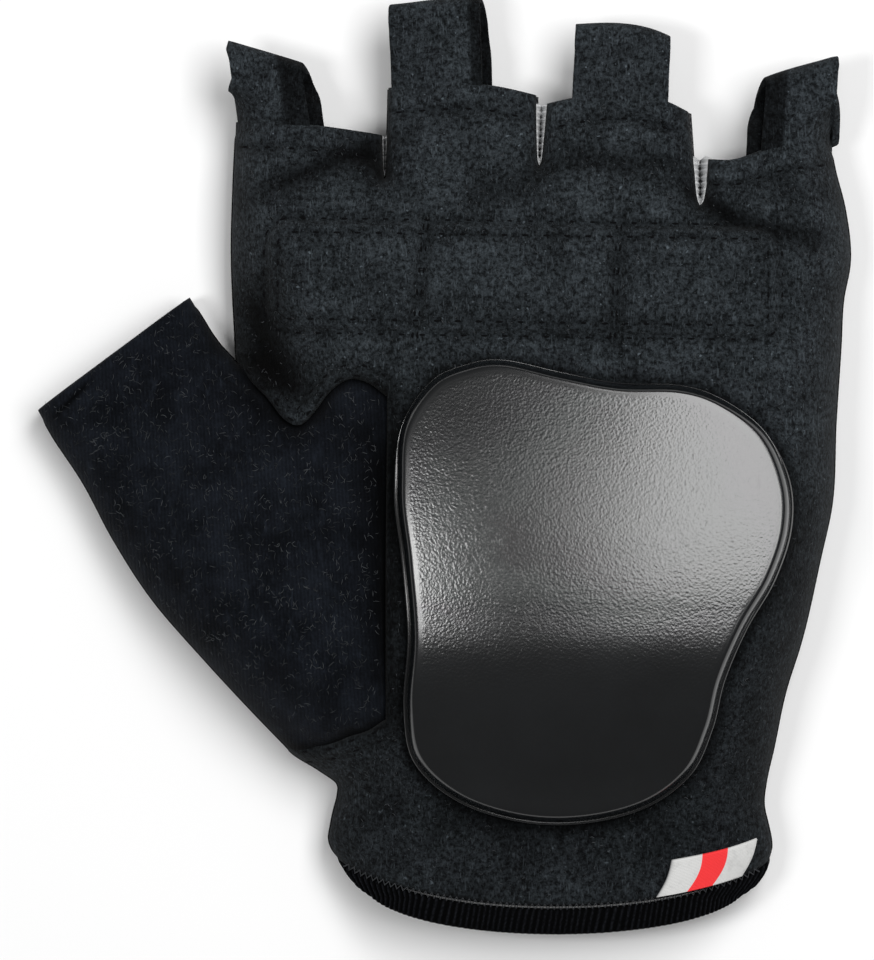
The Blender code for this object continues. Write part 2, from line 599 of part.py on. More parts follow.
def make_thumb_panel(stretch):
    """The thumb: a palm side and a back side, each stretched from the opening to the seam that lets it in."""
    # The palm's cut-out, by its own grid's points: the wave, down beside the slider, and back to the heel
    index_rows = PALM_ROWS[(PALM_ROWS >= LOWER_SEAM_ROW) & (PALM_ROWS <= UPPER_SEAM_ROW)]
    cut_out = panel_grid("index", PALM_COLUMNS["index"], index_rows)[..., :2]
    wave, beside, heel = cut_out[-1], cut_out[::-1, -1], cut_out[0, ::-1]
    palm_seam = np.concatenate([wave, beside[1:], heel[1:]])
    back_rows = BACK_ROWS[(BACK_ROWS >= LOWER_SEAM_ROW) & (BACK_ROWS <= UPPER_SEAM_ROW)]
    back_seam = panel_grid("index", (0, 1), back_rows, back=True)[::-1, 0, :2]

    crotch_gap = 1.5 * SEAM_GAP
    heel_gap = 1.5 * SEAM_GAP
    patches = []
    for seam, height, facing in ((palm_seam, palm_height, -1), (back_seam, back_height, 1)):
        seam = stand_back(seam, SEAM_GAP)
        outer = edge_line(THUMB_LEFT_EDGE, THUMB_HEEL_UP, THUMB_LEFT_EDGE["up"][-1])[::-1]
        inner = edge_line(THUMB_RIGHT_EDGE, CROTCH_UP, THUMB_RIGHT_EDGE["up"][-1])[::-1]
        corner = len(wave) - 1
        inner_end = 1 - crotch_gap / np.hypot(*(inner[-1] - inner[0]))
        inner = run_along(inner, np.linspace(0, inner_end, THUMB_FREE_CELLS + 1))
        right = np.concatenate([inner, seam[1 : corner + 1]])
        outer_end = 1 - heel_gap / np.hypot(*np.diff(outer, axis=0).T).sum()
        left = run_along(outer, np.linspace(0, outer_end, len(right)))
        base = np.concatenate([left[-1:], seam[corner:-1][::-1]])
        tip = run_along(np.stack([left[0], right[0]]), cosine_steps(len(base) - 1))
        x, y = np.moveaxis(stretched_grid(left, right, tip, base), -1, 0)
        patches.append((np.stack([x, y, height(x, y, 0.0)], -1), facing, height, OUTLINE))
    return sheet_object("thumb_panel", patches, CLOTH_WALL, stretch)


def make_web(web, knit):
    """The knit strip between two fingers: down one, round the slit's foot and up the other."""
    left, right = FINGERS[web - 1], FINGERS[web]
    along, rise = np.meshgrid(np.linspace(-1, 1, 17), np.linspace(0, 1, 3))
    hem = np.where(along < 0, FINGER_HEMS[left]["up"][-1], FINGER_HEMS[right]["up"][0])
    up = web_foot(web) + (hem - web_foot(web)) * along**2
    y = up * GLOVE_LENGTH

    def side_x(slit_share):
        return np.where(along < 0, finger_x(left, 1.0, up, slit_share), finger_x(right, 0.0, up, slit_share))

    low_x, top_x = side_x(BACK_SLIT_SHARE), side_x(1.0)
    low = back_height(low_x, y) + SEAM_GAP
    top = palm_height(top_x, y) - SEAM_GAP
    grid = np.stack([low_x + (top_x - low_x) * rise, y, low + (top - low) * rise], -1)
    return sheet_object(f"finger_web_{left}_{right}", [(grid, -1)], WEB_WALL, knit)


def loop_profile(height):
    """The strap's outer side: out from the hem, round the bend and back to the tuck under the hem.

    Each row is how far out from the hem it lies, and how far above the hem's outer surface."""
    bend = LOOP_BEND_RADIUS
    reach = height - bend
    under = CLOTH_WALL + LOOP_GAP + STRAP_WALL
    turn = np.radians(np.arange(90, -91, -20))
    return np.concatenate([
        [(SEAM_GAP, 0.0), (0.35 * reach, 0.1 * bend), (0.7 * reach, 0.08 * bend)],
        np.stack([reach + bend * np.cos(turn), bend * np.sin(turn) - bend], 1),
        [(0.62 * reach, -1.97 * bend), (0.28 * reach, -(0.85 * under + 0.3 * bend))],
        [(0.0, -under), (-0.5 * LOOP_TUCK, -under), (-LOOP_TUCK, -under)],
    ])


def hem_y(finger, x):
    """How far up the glove a finger's hem is at a place across it."""
    hem = FINGER_HEMS[finger]
    low = finger_x(finger, 0.0, hem["up"][0], 1.0)
    high = finger_x(finger, 1.0, hem["up"][-1], 1.0)
    return smooth(hem, "side", "up", (x - low) / (high - low)) * GLOVE_LENGTH


def make_pull_loop(finger, suede):
    """A strap that runs on from the palm's hem, bends over and comes back under it."""
    loop = LOOPS[finger]
    height = loop["height"] * LOOP_HEIGHT
    profile = loop_profile(height)
    length = np.append(0, np.cumsum(np.hypot(*np.diff(profile, axis=0).T)))
    share, row = np.meshgrid(np.linspace(0, 1, 6), np.arange(len(profile)))
    out, above, along = profile[row, 0], profile[row, 1], length[row] / length[-1]

    returning = ease((along - 0.55) / 0.3)
    skewed = ease((along - 0.35) / 0.25) * (1 - returning)
    ahead = np.clip(out / height, 0, 1)
    middle = loop["across"] + (loop["tuck_across"] - loop["across"]) * returning
    breadth = loop["breadth"] + (loop["tuck_breadth"] - loop["breadth"]) * returning
    shift = (share - 0.5) * breadth + loop["skew"] * skewed
    x = middle * KNUCKLE_BREADTH + shift * LOOP_BREADTH + loop["lean"] * height * ahead
    hem = hem_y(finger, x)
    y = hem + out * (1 + loop["slope"] * (2 * share - 1) * ahead)
    # The strap is as round as the finger at the hem, and level out at its tip
    centre = loop["across"] * KNUCKLE_BREADTH
    level = palm_height(centre, hem_y(finger, centre))
    base = palm_height(x, np.minimum(y, hem))
    z = base + (level - base) * ease(ahead / 0.6) + above
    return sheet_object(f"pull_loop_{finger}", [(np.stack([x, y, z], -1), 1)], STRAP_WALL, suede)


def closed_curve(lookup, columns, count):
    """A smooth closed curve through a table's rows, with a number of even steps between them."""
    points = np.stack([lookup[key] for key in columns], 1)
    around = np.concatenate([points[-2:], points, points[:3]])
    keys = np.arange(-2, len(points) + 3, dtype=float)
    at = np.linspace(0, len(points), count, endpoint=False)
    both = [smooth({"key": keys, "value": around[:, k]}, "key", "value", at) for k in (0, 1)]
    return np.stack(both, 1)


def make_slider(plastic):
    """The moulded slider: a plate that follows the heel of the palm, with a round edge and a thin flange."""
    count = 50
    middle = np.array([SLIDER_ACROSS * KNUCKLE_BREADTH, SLIDER_UP * GLOVE_LENGTH])
    outline = closed_curve(SLIDER_OUTLINE, ("side", "along"), count) * (SLIDER_BREADTH, SLIDER_LENGTH) + middle
    run = np.roll(outline, -1, 0) - np.roll(outline, 1, 0)
    inward = np.stack([run[:, 1], -run[:, 0]], 1) / np.hypot(*run.T)[:, None]
    # Insets from the outline and heights over the palm, from the foot of the edge to the flat of the plate
    flange_rise = SLIDER_THICKNESS - SLIDER_FLANGE_THICKNESS
    edge = [(0.0, 0.0), (0.0, SLIDER_FLANGE_THICKNESS), (SLIDER_FLANGE_WIDTH, 1.05 * SLIDER_FLANGE_THICKNESS)]
    for inset, height in ((0.03, 0.25), (0.18, 0.64), (0.45, 0.87), (1.0, 1.0)):
        edge.append((
            SLIDER_FLANGE_WIDTH + SLIDER_CORNER * inset,
            SLIDER_FLANGE_THICKNESS + flange_rise * height,
        ))
    rings = [(outline + inward * away, height) for away, height in edge]
    flat = rings[-1][0]
    rings += [(middle + (flat - middle) * share, SLIDER_THICKNESS) for share in (0.72, 0.45, 0.2)]
    under = [(middle + (outline - middle) * share, 0.0) for share in (0.2, 0.45, 0.72, 0.9)]
    rings = under + rings
    points = []
    for plan, height in rings:
        z = palm_height(plan[:, 0], plan[:, 1]) + SLIDER_CLEARANCE + height
        points.append(np.column_stack([plan, z]))
    faces = []
    for ring in range(len(rings) - 1):
        for k in range(count):
            after = (k + 1) % count
            faces.append((ring * count + k, ring * count + after, (ring + 1) * count + after, (ring + 1) * count + k))
    middle_height = palm_height(middle[0], middle[1]) + SLIDER_CLEARANCE
    points += [np.array([[*middle, middle_height]]), np.array([[*middle, middle_height + SLIDER_THICKNESS]])]
    low_pole, high_pole = len(rings) * count, len(rings) * count + 1
    last = (len(rings) - 1) * count
    for k in range(count):
        after = (k + 1) % count
        faces += [(low_pole, after, k), (high_pole, last + k, last + after)]
    return finish_object("palm_slider", np.concatenate(points), faces, plastic)


def make_binding(elastic):
    """The elastic band round the wrist opening: a rounded flat section carried round the cuff's edge."""
    steps = 22
    turn = np.linspace(0, 1, steps + 1)
    # Shares of the band's width from the hem, and its section by these: which share, and how far out
    widths = (0.0, 0.12, 0.75, 0.95, 1.0)
    section = ((0, -0.8), (0, 0.8), (1, 1.0), (2, 1.0), (3, 0.6), (4, 0.0), (3, -0.6), (2, -1.0), (1, -1.0))
    which = [number for number, _ in section]
    depth = np.array([(out - 1) * BINDING_WALL / 2 for _, out in section])

    def strip(bow_share, height, facing, proud):
        a, b = np.meshgrid(turn, widths)
        side = (1 - np.cos(np.pi * a)) / 2
        up = cuff_edge(side, bow_share) + BINDING_WIDTH / GLOVE_LENGTH * (1 - b)
        left, right = (smooth(edge, "up", "across", up) for edge in (LEFT_EDGE, RIGHT_EDGE))
        x = (left + (right - left) * side) * KNUCKLE_BREADTH
        y = up * GLOVE_LENGTH
        skin = np.stack([x, y, height(x, y, 0.0)], -1)
        normal = surface_normals(skin, facing, height, OUTLINE)
        normal[:, [0, -1]] *= (1, 0, 0)
        normal[:, [0, -1]] /= np.linalg.norm(normal[:, [0, -1]], axis=-1, keepdims=True)
        out = depth[:, None] + proud * np.sin(np.pi * turn)
        return (skin[which] + normal[which] * out[..., None]).swapaxes(0, 1)

    palm_side = strip(1.0, palm_height, -1, BINDING_PROUD)
    back_side = strip(BACK_CUFF_BOW, back_height, 1, 0.0)
    palm_side[[0, -1]] = (palm_side[[0, -1]] + back_side[[0, -1]]) / 2
    rings = np.concatenate([palm_side, back_side[-2:0:-1]])
    count, around = len(section), len(rings)
    faces = []
    for ring in range(around):
        after = (ring + 1) % around
        for k in range(count):
            beside = (k + 1) % count
            faces.append((ring * count + k, ring * count + beside, after * count + beside, after * count + k))
    return finish_object("wrist_binding", rings.reshape(-1, 3), faces, elastic)


def cuff_hem_y(x):
    """How far up the glove the palm panel's lower hem is at a place across the cuff."""
    up = CUFF_CORNER_UP
    for _ in range(6):
        left, right = (smooth(edge, "up", "across", up) * KNUCKLE_BREADTH for edge in (LEFT_EDGE, RIGHT_EDGE))
        up = hem_row((x - left) / (right - left), 1.0)
    return up * GLOVE_LENGTH


def make_tag(woven):
    """The folded tag that stands out of the cuff's seam and lies up the palm."""
    start = TAG_ACROSS * KNUCKLE_BREADTH

    def place(a, b):
        foot_x = start + a * TAG_LENGTH
        x = foot_x + b * TAG_LEAN
        y = cuff_hem_y(foot_x) + SEAM_GAP + b * TAG_BREADTH
        lift = TAG_CLEARANCE + TAG_THICKNESS + TAG_LIFT * (1 - a) ** 2
        return np.stack([x, y, palm_height(x, y) + lift], -1)

    grid = place(*np.meshgrid(np.linspace(0, 1, 9), np.linspace(0, 1, 5)))
    return sheet_object("stripe_tag", [(grid, 1)], TAG_THICKNESS, woven)


def stand_on_the_table(objects):
    """Hangs every piece on one empty, moved so that the origin is under the middle of the whole glove."""
    corners = np.array([v.co for obj in objects for v in obj.data.vertices])
    low, high = corners.min(0), corners.max(0)
    glove = bpy.data.objects.new("glove", None)
    bpy.context.scene.collection.objects.link(glove)
    for obj in objects:
        obj.parent = glove
    glove.location = (-(low[0] + high[0]) / 2, -(low[1] + high[1]) / 2, -low[2])


def main():
    for old in list(bpy.data.objects):
        bpy.data.objects.remove(old)
    suede = material("black suede", (0.018, 0.019, 0.021), 0.92)
    stretch = material("black stretch fabric", (0.012, 0.013, 0.015), 0.95)
    back_knit = material("black knit", (0.022, 0.022, 0.024), 0.9)
    white_knit = material("white knit", (0.72, 0.72, 0.72), 0.9)
    elastic = material("black elastic", (0.01, 0.01, 0.012), 0.8)
    plastic = material("black grained plastic", (0.03, 0.031, 0.033), 0.42)
    woven = material("striped tag", (0.75, 0.75, 0.74), 0.7)
    objects = [make_palm_panel(suede), make_back_panel(back_knit), make_thumb_panel(stretch)]
    objects += [make_web(web, white_knit) for web in (1, 2, 3)]
    objects += [make_pull_loop(finger, suede) for finger in LOOPS]
    objects += [make_slider(plastic), make_binding(elastic), make_tag(woven)]
    stand_on_the_table(objects)


main()
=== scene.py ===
import bmesh
import bpy
import numpy as np
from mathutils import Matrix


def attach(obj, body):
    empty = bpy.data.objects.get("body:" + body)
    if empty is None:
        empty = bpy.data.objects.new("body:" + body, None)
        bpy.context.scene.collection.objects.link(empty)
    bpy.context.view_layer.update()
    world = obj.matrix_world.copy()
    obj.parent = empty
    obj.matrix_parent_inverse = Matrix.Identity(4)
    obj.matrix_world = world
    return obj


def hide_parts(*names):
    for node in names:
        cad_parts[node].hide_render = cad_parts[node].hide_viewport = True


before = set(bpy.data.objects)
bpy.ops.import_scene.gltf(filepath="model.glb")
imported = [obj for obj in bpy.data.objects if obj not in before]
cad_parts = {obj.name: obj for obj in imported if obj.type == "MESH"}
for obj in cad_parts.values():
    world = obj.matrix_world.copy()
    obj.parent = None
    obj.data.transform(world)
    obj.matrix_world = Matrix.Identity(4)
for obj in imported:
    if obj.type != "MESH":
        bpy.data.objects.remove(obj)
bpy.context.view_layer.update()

bl_info = {
    "name": "Skating glove dressing",
    "version": (1, 0, 0),
    "blender": (4, 5, 0),
    "location": "3D View > Sidebar > Glove",
    "description": "Suede, knit, plastic, stitches and lint for a fingerless skating glove",
    "category": "Object",
}

MM = 0.001

# The glove's sizes, as its solids have them
KNUCKLE_BREADTH = 105.0 * MM
GLOVE_LENGTH = 159.0 * MM
PALM_CROWN = 26.5 * MM
SEAM_HEIGHT = 7.0 * MM
THUMB_CROWN = 14.5 * MM
# How far in from the outline each surface takes to level out
PALM_SHOULDER = 13.5 * MM
FINGER_SHOULDER = 8.5 * MM
BACK_SHOULDER = 7.5 * MM
WEB_SHOULDER = 3.6 * MM
# Cloth, the webs between the fingers and the knuckle pad
CLOTH_WALL = 1.5 * MM
SEAM_GAP = 0.4 * MM
WEB_WALL = 1.1 * MM
WEB_DROP = 3.2 * MM
WEB_RISE = 2.4 * MM
WEB_SLIT = 3.0 * MM
PAD_RISE = 1.3 * MM
PAD_EDGE = 2.2 * MM
# Elastic binding round the wrist opening
BINDING_WIDTH = 4.4 * MM
BINDING_WALL = 2.3 * MM
BINDING_PROUD = 0.4 * MM
# Pull loops
STRAP_WALL = 1.2 * MM
LOOP_BREADTH = 15.6 * MM
LOOP_HEIGHT = 14.6 * MM
LOOP_BEND_RADIUS = 2.7 * MM
LOOP_TUCK = 3.5 * MM
LOOP_GAP = 0.7 * MM
# Slider
SLIDER_BREADTH = 67.6 * MM
SLIDER_LENGTH = 79.2 * MM
SLIDER_THICKNESS = 4.6 * MM
SLIDER_FLANGE_WIDTH = 1.0 * MM
SLIDER_FLANGE_THICKNESS = 1.4 * MM
SLIDER_CORNER = 3.2 * MM
SLIDER_CLEARANCE = 0.4 * MM
# Striped tag
TAG_LENGTH = 14.5 * MM
TAG_BREADTH = 6.4 * MM
TAG_LEAN = 2.6 * MM
TAG_THICKNESS = 0.9 * MM
TAG_LIFT = 0.7 * MM
TAG_CLEARANCE = 0.35 * MM
# A point this close to a line counts as on it
ON_THE_OUTLINE = 0.03 * MM
# Where the drawing's own origin, under the cuff, lies in the frame
DRAWING_ORIGIN = np.array([-0.02 * MM, -79.79 * MM, 0.0])


def table(columns, rows):
    """A table as one array for each named column."""
    return dict(zip(columns.split(), np.array(rows, float).T))


# Outlines from above: across is a share of KNUCKLE_BREADTH, and up, from the cuff, of GLOVE_LENGTH
LEFT_EDGE = table("up across", [
    (0.040, -0.135), (0.054, -0.148), (0.068, -0.163), (0.084, -0.177), (0.100, -0.187),
    (0.116, -0.184), (0.132, -0.179), (0.148, -0.173), (0.161, -0.174), (0.174, -0.201),
    (0.1985, -0.254), (0.206, -0.2555), (0.300, -0.2743), (0.400, -0.2943), (0.500, -0.3144),
    (0.580, -0.3304), (0.6127, -0.337), (0.647, -0.340), (0.728, -0.345), (0.808, -0.342),
    (0.870, -0.338), (0.920, -0.338),
])
RIGHT_EDGE = table("up across", [
    (0.040, 0.497), (0.054, 0.512), (0.068, 0.525), (0.084, 0.532), (0.100, 0.532),
    (0.116, 0.527), (0.137, 0.520), (0.164, 0.524), (0.196, 0.535), (0.261, 0.556),
    (0.309, 0.579), (0.406, 0.613), (0.454, 0.629), (0.550, 0.637), (0.631, 0.645),
    (0.679, 0.649), (0.720, 0.660), (0.776, 0.652), (0.824, 0.634), (0.851, 0.628),
    (0.900, 0.629),
])
THUMB_LEFT_EDGE = table("up across", [
    (0.1985, -0.254), (0.2285, -0.298), (0.293, -0.389), (0.357, -0.473), (0.422, -0.537),
    (0.486, -0.589), (0.534, -0.637), (0.561, -0.660),
])
THUMB_RIGHT_EDGE = table("up across", [
    (0.6127, -0.337), (0.631, -0.363), (0.663, -0.395), (0.682, -0.413),
])
# Heights of the cuff's corner, the neck and the thumb's two ends; the bows bend the wrist's edge and neck
CUFF_CORNER_UP = 0.056
NECK_UP = 0.148
NECK_BOW = 0.2
BACK_CUFF_BOW = 0.25
CROTCH_UP = 0.6127
THUMB_HEEL_UP = 0.1985
# Rows of the palm from left to right: side is the share of the way across
LOWER_THUMB_SEAM = table("side up", [
    (0.0, 0.1985), (0.112, 0.205), (0.156, 0.2124), (0.209, 0.220), (0.25, 0.231),
    (0.4, 0.236), (1.0, 0.236),
])
UPPER_THUMB_SEAM = table("side up", [
    (0.0, 0.6127), (0.023, 0.590), (0.046, 0.573), (0.070, 0.5515), (0.104, 0.546),
    (0.124, 0.558), (0.156, 0.5815), (0.189, 0.593), (0.222, 0.588), (0.25, 0.575),
    (0.3, 0.565), (0.4, 0.560), (1.0, 0.560),
])
BACK_UPPER_ROW = table("side up", [(0.0, 0.6127), (0.25, 0.59), (0.4, 0.58), (1.0, 0.58)])
WEB_ROW = table("side up", [
    (0.0, 0.795), (0.25, 0.810), (0.51, 0.824), (0.77, 0.781), (1.0, 0.772),
])
# Two of the grid's rows keep to these heights, along the knuckle pad
PAD_LOW, PAD_HIGH = 0.633, 0.750
# Fingers: their sides as shares of the way across, and the hem of each from its left to its right
FINGER_SIDES = (0.0, 0.25, 0.51, 0.77, 1.0)
FINGER_HEMS = {
    "index": table("side up", [(0.0, 0.870), (0.5, 0.866), (1.0, 0.855)]),
    "middle": table("side up", [(0.0, 0.906), (0.7, 0.908), (1.0, 0.898)]),
    "ring": table("side up", [(0.0, 0.889), (0.2, 0.895), (0.85, 0.891), (1.0, 0.880)]),
    "little": table("side up", [(0.0, 0.829), (0.17, 0.828), (0.46, 0.840), (1.0, 0.851)]),
}
FINGERS = tuple(FINGER_HEMS)
# Webs: the line of each up the glove, and its slit's width at the hems as a share of WEB_SLIT
WEB_LINES = (
    table("up across", [(0.22, -0.094), (0.40, -0.094), (0.576, -0.092), (0.81, -0.096), (0.92, -0.094)]),
    table("up across", [(0.22, 0.148), (0.40, 0.150), (0.576, 0.152), (0.824, 0.1545), (0.92, 0.160)]),
    table("up across", [(0.22, 0.345), (0.40, 0.375), (0.576, 0.395), (0.781, 0.4146), (0.92, 0.408)]),
)
WEB_SLITS = (0.30, 0.63, 1.0)
BACK_SLIT_SHARE = 0.5
# The webs' own lines hold from here up; at the cuff the bands are even shares of its breadth
WEB_LINES_FROM, WEB_LINES_FULL = 0.12, 0.23
# Height of the palm along the hand, as shares of PALM_CROWN
CROWN = table("up height", [
    (0.0, 0.58), (0.06, 0.62), (0.12, 0.66), (0.16, 0.72), (0.20, 0.81), (0.25, 0.91),
    (0.30, 0.98), (0.35, 1.0), (0.42, 1.0), (0.50, 0.975), (0.58, 0.93), (0.70, 0.84),
    (0.78, 0.765), (0.84, 0.67), (0.90, 0.57), (0.95, 0.53),
])
# Round swellings and hollows: across, up, radius as a share of KNUCKLE_BREADTH, rise of PALM_CROWN
MOUNDS = {
    "thumb muscle": (-0.215, 0.400, 0.150, 0.050),
    "outer heel": (0.420, 0.490, 0.130, 0.045),
    "inner heel": (0.040, 0.520, 0.090, 0.015),
    "heel valley": (0.210, 0.570, 0.100, -0.035),
}
# In half thumb widths: how far aside of its middle the thumb's height holds, and how far down it fades
THUMB_SPREAD = 1.15
THUMB_REACH = 4.2
THUMB_TIP_REACH = 2.4
# Heights between which the palm's shoulder narrows to the fingers'
FINGERS_FROM, FINGERS_FULL = 0.70, 0.86
# Pull loops: breadths and skew are shares of LOOP_BREADTH, heights of LOOP_HEIGHT. The skew moves the
# returning leaf aside, the lean moves the whole tip aside, and the slope makes one corner reach further.
LOOPS = {
    "index": {"across": -0.276, "breadth": 0.79, "height": 0.83, "tuck_across": -0.234,
              "tuck_breadth": 0.54, "skew": 0.10, "lean": -0.14, "slope": -0.13},
    "middle": {"across": -0.012, "breadth": 1.0, "height": 1.0, "tuck_across": 0.022,
               "tuck_breadth": 0.76, "skew": 0.08, "lean": -0.03, "slope": 0.03},
    "ring": {"across": 0.285, "breadth": 1.04, "height": 0.82, "tuck_across": 0.285,
             "tuck_breadth": 0.80, "skew": 0.0, "lean": 0.05, "slope": -0.05},
    "little": {"across": 0.572, "breadth": 0.79, "height": 0.90, "tuck_across": 0.529,
               "tuck_breadth": 0.54, "skew": -0.10, "lean": 0.07, "slope": 0.07},
}
# Shares of a strap's breadth between which its inner side shows, in painted shade; none where both are
# equal
LOOP_PAINTED_SHADE = {"index": (0.70, 1.0), "middle": (0.9, 1.0), "ring": (1.0, 1.0), "little": (0.0, 0.27)}
# The slider's outline round its middle, as shares of its breadth and length
SLIDER_ACROSS = 0.241
SLIDER_UP = 0.365
SLIDER_OUTLINE = table("side along", [
    (-0.225, 0.500), (-0.083, 0.474), (0.060, 0.451), (0.215, 0.446), (0.320, 0.417),
    (0.425, 0.350), (0.490, 0.248), (0.497, 0.140), (0.455, 0.028), (0.385, -0.075),
    (0.330, -0.185), (0.300, -0.290), (0.245, -0.390), (0.130, -0.462), (-0.030, -0.495),
    (-0.190, -0.490), (-0.345, -0.445), (-0.452, -0.360), (-0.477, -0.240), (-0.467, -0.090),
    (-0.482, 0.070), (-0.501, 0.215), (-0.482, 0.355), (-0.410, 0.452), (-0.320, 0.490),
])
TAG_ACROSS = 0.343

# The pad's outer seam, a rounded rectangle that leans a little, and the two seams across it
PAD_SEAM = {"left": -0.291, "right": 0.546, "low": 0.639, "high": 0.762, "corner": 0.045, "lean": -0.0155}
PAD_DIVIDERS = ((-0.0276, -0.048), (0.284, 0.2715))
PAD_SEAM_GAP = 2.4 * MM
# Soft folds, each from one end to the other: across, up, across, up, half width and depth in mm, painted
# shade
PALM_FOLDS = {
    "index to middle": (-0.085, 0.851, -0.300, 0.795, 2.4, 0.9, 0.85),
    "index crotch": (-0.135, 0.838, -0.090, 0.805, 3.0, 0.6, 0.9),
    "beside the thumb": (-0.318, 0.690, -0.262, 0.580, 4.2, 0.5, 0.95),
    "corner of the thumb": (-0.330, 0.625, -0.215, 0.575, 3.4, 0.4, 0.9),
    "under middle": (0.040, 0.780, 0.190, 0.825, 2.6, 0.6, 0.55),
    "under ring": (0.170, 0.830, 0.390, 0.822, 2.4, 0.6, 0.6),
    "ring crotch": (0.385, 0.800, 0.470, 0.765, 2.0, 0.7, 0.9),
    "under little": (0.420, 0.772, 0.610, 0.742, 2.2, 0.7, 0.75),
    "little hem": (0.530, 0.800, 0.640, 0.790, 2.0, 0.3, 0.4),
    "left heel": (-0.150, 0.110, -0.060, 0.150, 4.0, 0.3, 0.4),
    # These two are painted shade only, no fold: a painted shadow below the slider, and the heel's right
    # side painted darker
    "under the slider": (-0.080, 0.110, 0.480, 0.120, 9.0, 0.0, 0.35),
    "right heel": (0.480, 0.120, 0.560, 0.420, 7.0, 0.0, 0.30),
}
# The thumb's folds, in the same columns as the palm's, with the painted shade along each
THUMB_FOLDS = {
    "hem crease": (-0.632, 0.5536, -0.574, 0.591, 0.6, 0.5, 0.9),
    "under the crotch": (-0.335, 0.590, -0.245, 0.535, 3.0, 0.4, 0.6),
    "beside the slider": (-0.105, 0.540, -0.085, 0.260, 5.0, 0.8, 0.9),
}
# How far the slider's top stands up in the middle, and how far the thumb runs in and down under the palm
SLIDER_DOME = 2.4 * MM
THUMB_TUCK = 2.4 * MM
THUMB_DROP = 1.6 * MM
# How far below the palm's own edge each strip of knit between the fingers stays
WEB_SINK = (2.4 * MM, 0.8 * MM, 0.6 * MM)
# The rows that the palm's and the back's grids pass through, and their counts of cells in between
ROW_KNOTS = np.array([0.0, 0.12, 0.24, 0.56, 0.62, 0.80, 0.88, 1.0])
LOWER_SEAM_ROW, UPPER_SEAM_ROW = ROW_KNOTS[2], ROW_KNOTS[3]
PALM_ROW_COUNTS = (26, 16, 74, 12, 32, 16, 30)
BACK_ROW_COUNTS = (14, 8, 40, 6, 14, 10, 18)
PALM_CELLS_ACROSS = 46
BACK_CELLS_ACROSS = 22
THUMB_CELLS_DOWN, THUMB_CELLS_ACROSS = 110, 84
# Points of each outer line below and above the thumb, and the elastic's ribs to one unit of its u
EDGE_POINTS = 60
RIBS_PER_U = 90.0
# Turned hems, the roll along the thumb's seam, and the grooves that stitches pull into the cloth
HEM_CURL = 0.8 * MM
HEM_FOLD = 4.3 * MM
HEM_FOLD_RISE = 0.35 * MM
THUMB_HEM = 3.2 * MM
THUMB_HEM_RISE = 0.25 * MM
ROLL_RISE = 0.7 * MM
ROLL_FROM_EDGE = 1.6 * MM
ROLL_WIDTH = 1.0 * MM
SEAM_GROOVE = 0.85 * MM
SEAM_GROOVE_DEPTH = 0.5 * MM
DIVIDER_GROOVE = 1.1 * MM
# The thumb's dip beside the slider
BESIDE_DIP = 0.8 * MM
BESIDE_DIP_WIDTH = 5.0 * MM
# Uneven cloth: the height of its ripples and their longest wave
PALM_RIPPLE = (0.22 * MM, 26 * MM)
THUMB_RIPPLE = (0.25 * MM, 30 * MM)
STRAP_RIPPLE = (0.25 * MM, 14 * MM)
# How far in from the side seam the relief grows to its full height
SEAM_MARGIN = 6 * MM
# The share of its length over which each end of a fold dies out
FOLD_FADE = 0.25
# The dressed slider: its flange and corner as shares of the solid's. Round its upper end the flange
# narrows, from a height over the slider's middle that is a share of its length.
FLANGE_SHARE, UPPER_FLANGE_SHARE = 0.6, 0.1
FLANGE_NARROWS_FROM, FLANGE_NARROWS_OVER = 0.24, 0.12
CORNER_SHARE = 0.45
FLANGE_TOP = 0.9
# Ribs of the cuff's elastic, and the zigzag over its edge
RIB_DEPTH = 0.55 * MM
ZIGZAG_PITCH = 1.15 * MM
ZIGZAG_SWING = 0.42 * MM
ZIGZAG_RADIUS = 0.17 * MM
OVERLOCK_PITCH = 0.5 * MM
OVERLOCK_RADIUS = 0.5 * MM
TAG_WALL = 0.3 * MM
# The photograph's height and scale, which set the camera's view, and the camera's height over the floor
PHOTO_PIXELS_HIGH = 960
PIXELS_TO_A_MM = 5.86
CAMERA_HEIGHT = 2.0


def smooth(lookup, key, value, at):
    """A table read as one smooth curve: cubic pieces with the slopes of the chords around each row."""
    keys, values = lookup[key], lookup[value]
    slopes = np.gradient(values, keys)
    at = np.clip(at, keys[0], keys[-1])
    i = np.clip(np.searchsorted(keys, at, side="right") - 1, 0, len(keys) - 2)
    width = keys[i + 1] - keys[i]
    s = (at - keys[i]) / width
    rise = s * s * (3 - 2 * s)
    bend_out, bend_in = s * (1 - s) ** 2, s * s * (s - 1)
    curve = values[i] + (values[i + 1] - values[i]) * rise
    return curve + width * (slopes[i] * bend_out + slopes[i + 1] * bend_in)


def ease(share):
    """3 s^2 - 2 s^3, held at 0 and 1 outside."""
    share = np.clip(share, 0, 1)
    return share * share * (3 - 2 * share)


def shoulder(share):
    """A quarter of a circle: upright where share is 0, and level from 1 on."""
    return np.sqrt(1 - np.clip(1 - share, 0, 1) ** 2)


def bow(side):
    """Half a circle over the way across: 0 at both sides and 1 in the middle."""
    return np.sqrt(np.clip(1 - (2 * side - 1) ** 2, 0, 1))


def distance_to(lines, x, y):
    """Distance from each point to the nearest of several polylines seen from above."""
    nearest = np.full(np.shape(x), np.inf)
    for line in lines:
        start, step = line[:-1], np.diff(line, axis=0)
        px, py = np.expand_dims(x, -1) - start[:, 0], np.expand_dims(y, -1) - start[:, 1]
        along = np.clip((px * step[:, 0] + py * step[:, 1]) / (step**2).sum(1), 0, 1)
        away = np.hypot(px - along * step[:, 0], py - along * step[:, 1])
        nearest = np.minimum(nearest, away.min(-1))
    return np.where(nearest < ON_THE_OUTLINE, 0.0, nearest)


def web_foot(web):
    """How far up the glove a slit starts."""
    return smooth(WEB_ROW, "side", "up", FINGER_SIDES[web])


